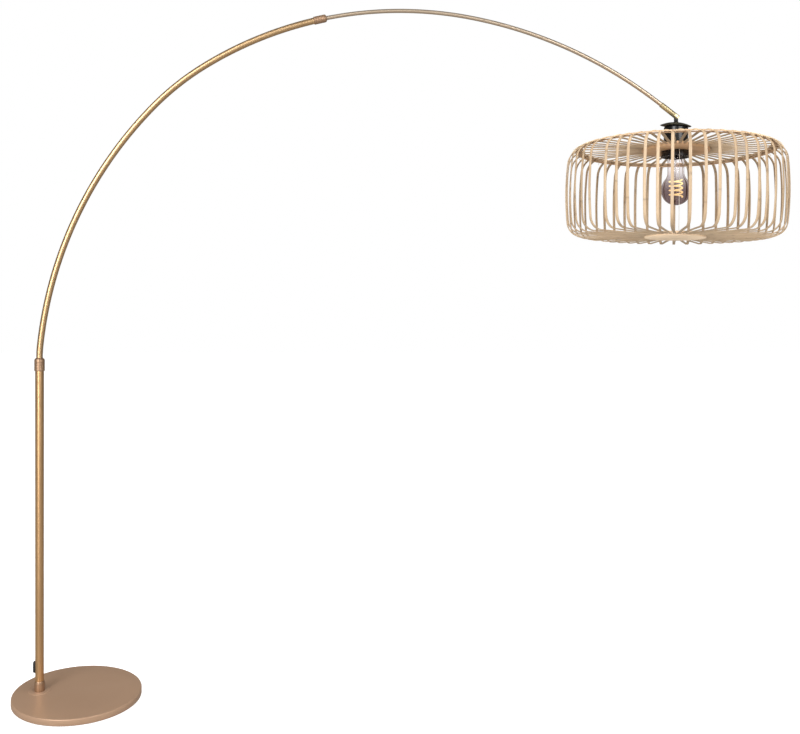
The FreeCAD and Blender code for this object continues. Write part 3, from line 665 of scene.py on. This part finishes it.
def makeSleeve():
    heading = tipHeading + math.degrees(sleeve["grip"] / arm["tipR"])
    spot = pivot - headingVector(heading) * (sleeve["len"] - sleeve["pinBack"]) * mm
    r, end, bore, step, half = sleeve["r"], sleeve["len"], sleeve["bore"], sleeve["step"], sleeve["slotW"] / 2
    body = lathe("endSleeve", [(bore, 0), (r - 0.8, 0), (r, 0.8), (r, end - 0.8), (r - 0.8, end),
                               (sleeve["pinBore"], end), (sleeve["pinBore"], step), (bore, step)], 64)
    flat, flatLow = sleeve["flat"], end - sleeve["flatLen"]
    cutters = [boxMesh("slotCut", (-9, -half, end - sleeve["slot"]), (9, half, 60)),
               boxMesh("flatCutA", (-9, flat, flatLow), (9, 9, 60)),
               boxMesh("flatCutB", (-9, -9, flatLow), (9, -flat, 60))]
    cutBy(body, cutters)
    softEdges(body, 0.25, 2)
    finish(place(body, along(heading, spot)), finishes["sleeve"], "upper_arm", "collar_bronze", "end_sleeve")


makeSleeve()
print("arm ready")


# link, cap and lamp holder; heights are below the pivot

holder = {"linkDrop": 14.1, "capD": 70.0, "capRise": 8.0, "capT": 1.2, "capLean": 7.0, "capDip": 2.5,
          "top": 21.3, "hubTop": 72.8, "d": 54.0, "shoulder": 8.0, "threadR": 22.5, "threadLen": 21.0,
          "wall": 2.0, "bore": 4.1, "ringR": 33.0, "ringH": 14.0, "hubT": 11.0}


def makeLink():
    drop = holder["linkDrop"]
    stem = lathe("linkStem", [(0, -drop - 14.5), (4, -drop - 14.5), (4, -drop), (5.6, -drop), (5.6, -drop + 0.8),
                              (3.2, -drop + 4.2), (0, -drop + 4.2)], 48, closed=False)
    bm = bmesh.new()
    side = arcPoints(0, 0, 4.5, 0, 180, 24)
    side += [(-4.5, -9.9), (-3.4, -11.1), (3.4, -11.1), (4.5, -9.9)]
    front = [bm.verts.new((x * mm, -1.85 * mm, z * mm)) for x, z in side]
    back = [bm.verts.new((x * mm, 1.85 * mm, z * mm)) for x, z in side]
    bm.faces.new(front)
    bm.faces.new(list(reversed(back)))
    for i in range(len(side)):
        j = (i + 1) % len(side)
        bm.faces.new((front[i], back[i], back[j], front[j]))
    bmesh.ops.recalc_face_normals(bm, faces=bm.faces)
    tongue = softEdges(newObject("linkTongue", bm), 0.3, 2)
    finish(place(tongue, hang), finishes["black"], "shade", "black_metal")
    finish(place(softEdges(stem, 0.3, 2), hang), finishes["black"], "shade", "black_metal", "swivel_link")


def makeCap():
    rim = holder["capD"] / 2
    r = (rim ** 2 + holder["capRise"] ** 2) / (2 * holder["capRise"])
    middle = -holder["linkDrop"] - r
    t = holder["capT"]
    first = math.degrees(math.acos(4.3 / r))
    last = math.degrees(math.acos(rim / r))
    outline = arcPoints(0, middle, r, first, last, 24) + arcPoints(0, middle, r - t, last, first, 24)
    cap = softEdges(lathe("capDisc", outline, 96), 0.3, 2)
    lean = (Matrix.Translation((0, 0, -holder["linkDrop"] * mm)) @
            Matrix.Rotation(math.radians(holder["capLean"]), 4, "X") @
            Matrix.Rotation(math.radians(holder["capDip"]), 4, "Y") @
            Matrix.Translation((0, 0, holder["linkDrop"] * mm)))
    finish(place(cap, hang @ lean), finishes["cap"], "shade", "black_metal", "cap_disc")


def makeHolder():
    r = holder["d"] / 2
    sh = holder["shoulder"]
    top = -holder["top"]
    base = -holder["hubTop"]
    neck = holder["threadR"]
    low = base - holder["threadLen"]
    thread = []
    z = base - 11.5
    while z > low + 1.0:
        thread += [(neck, z), (neck - 0.5, z - 0.7), (neck, z - 1.4)]
        z -= 1.5
    t, bore = holder["wall"], holder["bore"]
    outline = [(bore, top), (r - sh, top)] + arcPoints(r - sh, top - sh, sh, 90, 0, 10)
    outline += [(r, base), (neck, base)] + thread
    outline += [(neck, low), (neck - t, low), (neck - t, base + t), (r - t, base + t)]
    outline += arcPoints(r - sh, top - sh, sh - t, 0, 90, 8) + [(bore, top - t)]
    shell = lathe("holderShell", outline, 96)
    finish(place(softEdges(shell, 0.25, 2, 40), hang), finishes["blackPlastic"], "shade", "socket_plastic",
           "holder_shell")
    hubLow = base - holder["hubT"]
    ringLow = hubLow - holder["ringH"]
    rr = holder["ringR"]
    outline = [(22.6, hubLow), (rr - 0.8, hubLow), (rr, hubLow - 0.8), (rr, ringLow + 2)]
    outline += arcPoints(rr - 2, ringLow + 2, 2, 0, -90, 6) + [(29, ringLow), (23.8, low), (22.6, low)]
    ring = lathe("shadeRing", outline, 96)
    finish(place(softEdges(ring, 0.3, 2, 40), hang), finishes["blackPlastic"], "shade", "socket_plastic",
           "shade_ring")


makeLink()
makeCap()
makeHolder()
print("holder ready")


# cage

cage = {"count": 48, "phase": 0.8, "w": 6.5, "t": 2.1, "r": 248.0, "h": 207.5, "topRun": 77.8, "topBend": 38.0,
        "bottomBend": 31.0, "lean": 5.8, "hubR": 76.0, "lowHubR": 69.0, "grip": 8.0, "hoopIn": 31.0, "hoopD": 3.0,
        "wander": 1.2, "bandT": 1.3, "bandGap": 0.4, "bandStart": 86, "bandLow": 4.6, "aside": -5.0,
        "bendFrom": 228.0, "slotGap": 0.2, "hubHole": 22.8, "lowHubRise": 6.5}
# degrees by which each strip stands off its even place on the wall
offPlace = (0.9, 0.6, -0.6, 0.0, -0.4, -1.2, -1.6, -1.6, -0.8, 0.1, 0.7, 0.8, 0.6, -0.3, -0.6, -1.1,
            -2.3, 0.3, -1.6, -1.8, -2.0, -1.4, 1.2, 1.8, 1.1, 0.6, 0.3, -0.2, 3.2, 2.3, 1.0, 2.2,
            0.9, 0.2, 1.0, 0.8, 0.1, 0.8, -0.4, -0.4, -2.3, -2.4, -1.3, -0.5, 0.6, 1.2, 1.2, 1.1)


bottomRun = -cage["topRun"] - cage["h"]


def wallArc():
    # the wall's slight bulge, tangent to both bends: its lean at the bends, radius and middle
    lean = math.radians(cage["lean"])
    both = cage["topBend"] + cage["bottomBend"]
    wallR = ((cage["h"] - both) / math.sin(lean) + both) / 2
    return lean, wallR, cage["r"] - cage["t"] / 2 - wallR


def topBendX():
    lean, wallR, wallX = wallArc()
    return wallX + (wallR - cage["topBend"]) * math.cos(lean)


def stripLine():
    # the strip's middle line, from hub to hub, as (radius, height, normal angle)
    lean, wallR, wallX = wallArc()
    topR, lowR = cage["topBend"], cage["bottomBend"]
    wallZ = -cage["topRun"] - topR - (wallR - topR) * math.sin(lean)
    top = (topBendX(), wallZ + (wallR - topR) * math.sin(lean))
    low = (wallX + (wallR - lowR) * math.cos(lean), wallZ - (wallR - lowR) * math.sin(lean))
    start = cage["hubR"] - cage["grip"]
    line = [(start + (top[0] - start) * i / 14, -cage["topRun"], 90) for i in range(14)]
    for cx, cz, r, first, last, steps in ((*top, topR, 90, cage["lean"], 12),
                                          (wallX, wallZ, wallR, cage["lean"], -cage["lean"], 14),
                                          (*low, lowR, -cage["lean"], -90, 12)):
        for i in range(steps):
            a = first + (last - first) * i / steps
            line.append((cx + r * math.cos(math.radians(a)), cz + r * math.sin(math.radians(a)), a))
    start = cage["lowHubR"] - cage["grip"]
    return line + [(low[0] + (start - low[0]) * i / 14, bottomRun, -90) for i in range(15)]


def makeStrip():
    # one strip in the plane Y = 0, with its length and width kept as a UV map
    line = stripLine()
    w, t, e = cage["w"] / 2, cage["t"] / 2, 0.55
    section = [(-w, -t + e), (-w + e * 0.3, -t + e * 0.3), (-w + e, -t), (w - e, -t), (w - e * 0.3, -t + e * 0.3),
               (w, -t + e), (w, t - e), (w - e * 0.3, t - e * 0.3), (w - e, t), (-w + e, t),
               (-w + e * 0.3, t - e * 0.3), (-w, t - e)]
    bm = bmesh.new()
    uv = bm.loops.layers.uv.new("along")
    rings = []
    reach = 0.0
    reaches = []
    for k, (r, z, a) in enumerate(line):
        if k:
            reach += math.dist(line[k - 1][:2], (r, z)) * mm
        reaches.append(reach)
        nx, nz = math.cos(math.radians(a)), math.sin(math.radians(a))
        rings.append([bm.verts.new(((r + nx * n) * mm, y * mm, (z + nz * n) * mm)) for y, n in section])
    count = len(section)
    girth = [sum(math.dist(section[i], section[i + 1]) for i in range(j)) * mm for j in range(count)]
    girth.append(girth[-1] + math.dist(section[-1], section[0]) * mm)
    for k in range(len(rings) - 1):
        for i in range(count):
            j = (i + 1) % count
            face = bm.faces.new((rings[k][i], rings[k][j], rings[k + 1][j], rings[k + 1][i]))
            for loop, corner in zip(face.loops, ((reaches[k], girth[i]), (reaches[k], girth[i + 1]),
                                                 (reaches[k + 1], girth[i + 1]), (reaches[k + 1], girth[i]))):
                loop[uv].uv = corner
    for ring, flip in ((rings[0], False), (rings[-1], True)):
        face = bm.faces.new(list(reversed(ring)) if flip else ring)
        for loop in face.loops:
            loop[uv].uv = (0, 0)
    bmesh.ops.recalc_face_normals(bm, faces=bm.faces)
    return newObject("oneStrip", bm)


def cageTree(piece):
    # stands a copy of the piece on each point, turned to its even place, then bends it to its own place
    values = {"Piece": piece, "Count": 48, "Phase": 0.0, "Wander": 0.0, "Hub Radius": 0.0, "Cage Radius": 0.0,
              "Aside": (0.0, 0.0, 0.0), "Seed": 3, "Material": finishes["strip"]}
    group, tree, given, out = geometryTree("stripCage", values)
    index = tree.add("GeometryNodeInputIndex").outputs[0]
    pitch = tree.sum("DIVIDE", 2 * math.pi, given["Count"])
    angle = tree.sum("ADD", tree.sum("MULTIPLY", index, pitch), given["Phase"])
    turn = tree.add("ShaderNodeCombineXYZ", {2: angle})
    source = tree.add("GeometryNodeObjectInfo", {"Object": given["Piece"]})
    copies = tree.add("GeometryNodeInstanceOnPoints", {"Points": given["Geometry"], "Rotation": turn,
                                                       "Instance": source.outputs["Geometry"]})
    tone = tree.add("FunctionNodeRandomValue", {"ID": index, "Seed": given["Seed"]}, data_type="FLOAT")
    marked = tree.add("GeometryNodeStoreNamedAttribute", {"Geometry": copies, "Name": "stripTone",
                                                          "Value": tone.outputs[1]},
                      data_type="FLOAT", domain="INSTANCE")
    real = tree.add("GeometryNodeRealizeInstances", {0: marked})
    where = tree.add("GeometryNodeInputPosition").outputs[0]
    parts = tree.add("ShaderNodeSeparateXYZ", {0: where})
    flat = tree.add("ShaderNodeCombineXYZ", {0: parts.outputs[0], 1: parts.outputs[1]})
    reach = tree.add("ShaderNodeVectorMath", {0: flat}, operation="LENGTH").outputs["Value"]
    # the share grows so that the run from the hub stays straight
    near = tree.sum("SUBTRACT", 1.0, tree.sum("DIVIDE", given["Hub Radius"], reach))
    full = tree.sum("SUBTRACT", 1.0, tree.sum("DIVIDE", given["Hub Radius"], given["Cage Radius"]))
    share = tree.add("ShaderNodeClamp", {0: tree.sum("DIVIDE", near, full)}).outputs[0]
    own = tree.add("GeometryNodeInputNamedAttribute", {"Name": "offPlace"}, data_type="FLOAT").outputs[0]
    bent = tree.add("ShaderNodeVectorRotate", {"Vector": where, "Angle": tree.sum("MULTIPLY", own, share)},
                    rotation_type="Z_AXIS").outputs[0]
    mark = tree.add("GeometryNodeInputNamedAttribute", {"Name": "stripTone"}, data_type="FLOAT").outputs[0]
    wave = tree.add("ShaderNodeTexNoise", {"Vector": where, "W": tree.sum("MULTIPLY", mark, 40.0), "Scale": 5.0,
                                           "Detail": 0.0}, noise_dimensions="4D").outputs["Color"]
    centred = tree.add("ShaderNodeVectorMath", {0: wave, 1: (0.5, 0.5, 0.5)}, operation="SUBTRACT").outputs[0]
    push = tree.add("ShaderNodeVectorMath", {0: centred, "Scale": tree.sum("MULTIPLY", share, given["Wander"])},
                    operation="SCALE").outputs[0]
    aside = tree.add("ShaderNodeVectorMath", {0: given["Aside"], "Scale": share}, operation="SCALE").outputs[0]
    push = tree.add("ShaderNodeVectorMath", {0: push, 1: aside}, operation="ADD").outputs[0]
    moved = tree.add("GeometryNodeSetPosition", {"Geometry": real, "Position": bent, "Offset": push})
    painted = tree.add("GeometryNodeSetMaterial", {"Geometry": moved, "Material": given["Material"]})
    tree.put(out, 0, painted)
    return group


def roundCage(name, piece, places, phase, wander, hubR, material):
    # one copy of the piece for each place
    bm = bmesh.new()
    for _ in places:
        bm.verts.new((0, 0, 0))
    carrier = newObject(name, bm)
    own = carrier.data.attributes.new("offPlace", "FLOAT", "POINT")
    for i, degrees in enumerate(places):
        own.data[i].value = math.radians(degrees)
    grow(carrier, cageTree(piece), {
        "Piece": piece, "Count": len(places), "Phase": math.radians(phase), "Wander": wander * mm,
        "Hub Radius": hubR * mm, "Cage Radius": cage["bendFrom"] * mm,
        "Aside": (cage["aside"] * mm, 0.0, 0.0), "Seed": 3, "Material": material})
    bpy.data.objects.remove(piece)
    return carrier


def makeCage():
    strips = roundCage("cageStrips", makeStrip(), offPlace, cage["phase"], cage["wander"], cage["hubR"],
                       finishes["strip"])
    finish(place(strips, hang), finishes["strip"], "shade", "bamboo", "cage_strips", angle=50)


def makeHub(name, node, r, high, slotFloor, hole, material):
    # disc with one slot for each strip, open at the rim and the top
    low = high - holder["hubT"]
    bm = bmesh.new()
    half = cage["w"] / 2 + cage["slotGap"]
    inner = r - cage["grip"] - cage["slotGap"]
    side = math.asin(half / r)
    gap = 2 * math.pi / cage["count"] - 2 * side
    outline = []
    for k in range(cage["count"]):
        a = math.radians(cage["phase"] + k * 360 / cage["count"])
        ux, uy = math.cos(a), math.sin(a)
        rim = [(r * math.cos(b), r * math.sin(b)) for b in
               (a - side, a + side, a + side + gap * 0.25, a + side + gap * 0.5, a + side + gap * 0.75)]
        outline += [rim[0], (ux * inner + uy * half, uy * inner - ux * half),
                    (ux * inner - uy * half, uy * inner + ux * half)] + rim[1:]
    top, floorLevel = ([bm.verts.new((x * mm, y * mm, z * mm)) for x, y in outline] for z in (high, slotFloor))
    n = len(outline)
    for i in range(n):
        j = (i + 1) % n
        bm.faces.new((floorLevel[i], floorLevel[j], top[j], top[i]))
    # slot floors, and the plain rim below them; 7 points to a slot and its gap
    keys = [i for i in range(n) if i % 7 not in (1, 2)]
    bottomRim = {i: bm.verts.new((outline[i][0] * mm, outline[i][1] * mm, low * mm)) for i in keys}
    for i in range(0, n, 7):
        bm.faces.new(floorLevel[i:i + 4])
    for a, b in zip(keys, keys[1:] + keys[:1]):
        bm.faces.new((bottomRim[a], bottomRim[b], floorLevel[b], floorLevel[a]))
    if hole > 0:
        sides = 96
        turns = [2 * math.pi * i / sides for i in range(sides)]
        hTop = [bm.verts.new((hole * mm * math.cos(a), hole * mm * math.sin(a), high * mm)) for a in turns]
        hLow = [bm.verts.new((v.co.x, v.co.y, low * mm)) for v in hTop]
        for i in range(sides):
            j = (i + 1) % sides
            bm.faces.new((hTop[i], hTop[j], hLow[j], hLow[i]))
        for outer, inside in ((top, hTop), ([bottomRim[i] for i in keys], hLow)):
            edges = []
            for loop in (outer, inside):
                for a, b in zip(loop, loop[1:] + loop[:1]):
                    edges.append(bm.edges.get((a, b)) or bm.edges.new((a, b)))
            bmesh.ops.triangle_fill(bm, edges=edges, use_beauty=True)
    else:
        bm.faces.new(top)
        bm.faces.new([bottomRim[i] for i in keys])
    bmesh.ops.recalc_face_normals(bm, faces=bm.faces)
    hub = newObject(name, bm)
    softEdges(hub, 0.35, 2, 50)
    finish(place(hub, hang), material, "shade", "hub_wood", node)


lashing = {"over": 0.9, "start": 80, "turn": 32, "short": 0.7, "slant": 0.6}


def makeLash(name, pitch):
    # cane from the band's top in mid gap down to the two strips beside it, in the plane X = 0
    bendX = topBendX()
    r = cage["topBend"] + cage["t"] / 2 + cage["bandT"] + lashing["over"]
    bm = bmesh.new()
    uv = bm.loops.layers.uv.new("along")
    for side in (1, -1):
        rings = []
        for i in range(9):
            f = i / 8
            a = math.radians(lashing["start"] - lashing["turn"] * f)
            spot = Vector((bendX + r * math.cos(a), 0, -cage["topRun"] - cage["topBend"] + r * math.sin(a)))
            turn = math.radians(side * (pitch / 2 - lashing["short"]) * f)
            spot = Vector((spot.x * math.cos(turn), spot.x * math.sin(turn), spot.z))
            out = Vector((math.cos(turn) * math.cos(a), math.sin(turn) * math.cos(a), math.sin(a)))
            run = Vector((-math.sin(a), side * lashing["slant"], -math.cos(a))).normalized()
            across = out.cross(run).normalized()
            rings.append([bm.verts.new((spot + out * h + across * w) * mm) for w, h in
                          ((-1.0, -0.5), (1.0, -0.5), (1.1, 0.1), (0.6, 0.6), (-0.6, 0.6), (-1.1, 0.1))])
        for k in range(8):
            for j in range(6):
                face = bm.faces.new((rings[k][j], rings[k][(j + 1) % 6], rings[k + 1][(j + 1) % 6], rings[k + 1][j]))
                for loop, spot in zip(face.loops, ((k, j), (k, j + 1), (k + 1, j + 1), (k + 1, j))):
                    loop[uv].uv = (spot[0] * 0.002, 0.01 + spot[1] * 0.001)
        bm.faces.new(rings[0])
        bm.faces.new(rings[-1])
    bmesh.ops.recalc_face_normals(bm, faces=bm.faces)
    return newObject(name, bm)


def makeHoop():
    # hoop inside the strips, cane band outside them, lashed in each gap
    bendX = topBendX()
    r = cage["r"] - cage["hoopIn"]
    half = cage["hoopD"] / 2
    reach = cage["topBend"] - cage["t"] / 2 - 0.15 - half
    z = -cage["topRun"] - cage["topBend"] + math.sqrt(reach ** 2 - max(0.0, r - bendX) ** 2)
    hoop = lathe("rimHoop", arcPoints(r, z, half, 0, 360, 12)[:-1], 288)
    offHubs = hang @ Matrix.Translation((cage["aside"] * mm, 0, 0))
    finish(place(hoop, offHubs), finishes["hoop"], "shade", "bamboo", "rim_hoop", angle=80)
    low = cage["topBend"] + cage["t"] / 2
    middle = -cage["topRun"] - cage["topBend"]
    last = math.degrees(math.asin((cage["topBend"] - cage["bandLow"]) / low))
    inside, start = low + cage["bandGap"], cage["bandStart"]
    outline = (arcPoints(bendX, middle, inside, start, last, 10) +
               arcPoints(bendX, middle, inside + cage["bandT"], last, start, 10))
    band = lathe("caneBand", outline, 1152)
    wraps = band.data.uv_layers.new(name="along")
    for v in band.data.vertices:
        # wraps of cane side by side, slanting a little
        turn = math.atan2(v.co.y, v.co.x) * cage["count"] * 3 + v.co.z / mm * 0.5
        puff = 1 + 0.0012 * math.sin(turn)
        v.co.x *= puff
        v.co.y *= puff
    for loop in band.data.loops:
        v = band.data.vertices[loop.vertex_index].co
        wraps.data[loop.index].uv = (v.z * 0.4, 0.01 + math.atan2(v.y, v.x) * 0.6)
    finish(place(band, offHubs), finishes["cane"], "shade", "bamboo", angle=60)
    pitch = 360 / cage["count"]
    between = [(offPlace[i] + offPlace[(i + 1) % len(offPlace)]) / 2 for i in range(len(offPlace))]
    lash = roundCage("caneLashing", makeLash("oneLash", pitch), between, cage["phase"] + pitch / 2, 0.0, 0.0,
                     finishes["lash"])
    finish(place(lash, hang), finishes["lash"], "shade", "bamboo", angle=80)


makeCage()
makeHub("topHub", "top_hub", cage["hubR"], -holder["hubTop"], -cage["topRun"] - cage["t"] / 2,
        cage["hubHole"], finishes["topHub"])
makeHub("bottomHub", "bottom_hub", cage["lowHubR"], bottomRun + cage["lowHubRise"], bottomRun - cage["t"] / 2, 0.0,
        finishes["hub"])
makeHoop()
print("cage ready")


# bulb

bulb = {"top": 81.3, "capR": 13.1, "neckR": 18.8, "r": 32.5, "flare": 30.0, "straight": 7.0, "wall": 1.0,
        "len": 130.5, "filamentR": 14.5, "filamentD": 3.2, "pitch": 10.4, "turns": 4, "filamentTop": 69.5,
        "lean": -0.9, "leanAt": 95.0}


def glassLine(skin):
    r, neck, flare = bulb["r"] - skin, bulb["neckR"] - skin, bulb["flare"] + skin
    top = -bulb["top"]
    lowMiddle = top - bulb["len"] + bulb["r"]
    highMiddle = lowMiddle + bulb["straight"]
    rise = math.sqrt((flare + r) ** 2 - (neck + flare) ** 2)
    turn = math.degrees(math.atan2(rise, neck + flare))
    mouth = bulb["capR"] - 0.6 - skin
    line = [(mouth, top), (mouth, top - 2)]
    line += [(mouth + (neck - mouth) * (0.5 - 0.5 * math.cos(math.pi * i / 8)), top - 2 - 12 * i / 8)
             for i in range(1, 9)]
    line += arcPoints(neck + flare, highMiddle + rise, flare, 180, 180 + turn, 16)
    line += arcPoints(0, highMiddle, r, turn, 0, 16)[1:]
    line += arcPoints(0, lowMiddle, r, 0, -90, 28)
    line[-1] = (0.0, line[-1][1])
    return line


def makeBulb():
    outside = glassLine(0)
    inside = glassLine(bulb["wall"])
    glass = lathe("bulbGlass", outside + list(reversed(inside)), 96)
    bm = bmesh.new()
    bm.from_mesh(glass.data)
    bmesh.ops.recalc_face_normals(bm, faces=bm.faces)
    bm.to_mesh(glass.data)
    bm.free()
    leanAt = bulb["leanAt"] * mm
    lean = (Matrix.Translation((0, 0, -leanAt)) @ Matrix.Rotation(math.radians(bulb["lean"]), 4, "Y") @
            Matrix.Translation((0, 0, leanAt)))
    finish(place(glass, hang @ lean), finishes["glass"], "shade", "smoked_glass", "bulb_glass", angle=60)
    points = []
    steps = 36
    r = bulb["filamentR"] * mm
    for i in range(bulb["turns"] * steps + 1):
        a = 2 * math.pi * i / steps
        z = -bulb["top"] - bulb["filamentTop"] - bulb["pitch"] * i / steps
        points.append(hang @ lean @ Vector((r * math.cos(a), r * math.sin(a), z * mm)))
    makeTube("bulbFilament", points, bulb["filamentD"] / 2, finishes["filament"], "shade", "filament_amber",
             "bulb_filament", sides=16)


wire = {"r": 40.0, "turn": 261.0, "d": 1.1}


def makeWire():
    # thin wire from the upper disc down to the lower one
    a = math.radians(wire["turn"])
    low = bottomRun + cage["lowHubRise"]
    points = [hang @ Vector((wire["r"] * math.cos(a) * mm, wire["r"] * math.sin(a) * mm, z * mm))
              for z in (-holder["hubTop"] - holder["hubT"] + 0.5, -160, low - 0.5)]
    makeTube("thinWire", points, wire["d"] / 2, finishes["wire"], "shade", None, sides=12)


makeBulb()
makeWire()

# CAD pieces that keep their shape

kept = {
    "steel": ["foot_bolt", "foot_washer", "pole_insert", "pole_ferrule", "arc_ferrule", "swivel_screw", "swivel_nut",
              "stem_nut", "bulb_leads"],
    "nylon": ["pole_collet", "arc_collet", "tail_bush", "arm_bush"],
    "rubber": ["base_pad"],
    "black": ["cap_nut"],
    "blackPlastic": ["socket_body", "bulb_insulator"],
    "brass": ["socket_shell", "contact_spring", "bulb_contact"],
    "aluminium": ["bulb_cap"],
    "stem": ["bulb_stem"],
    "sheath": ["flex_pole", "flex_arm", "flex_reach"],
}
for finishName, names in kept.items():
    for name in names:
        node = frame["nodes"][name]
        node.data.materials.clear()
        node.data.materials.append(finishes[finishName])
print("bulb and kept pieces ready")
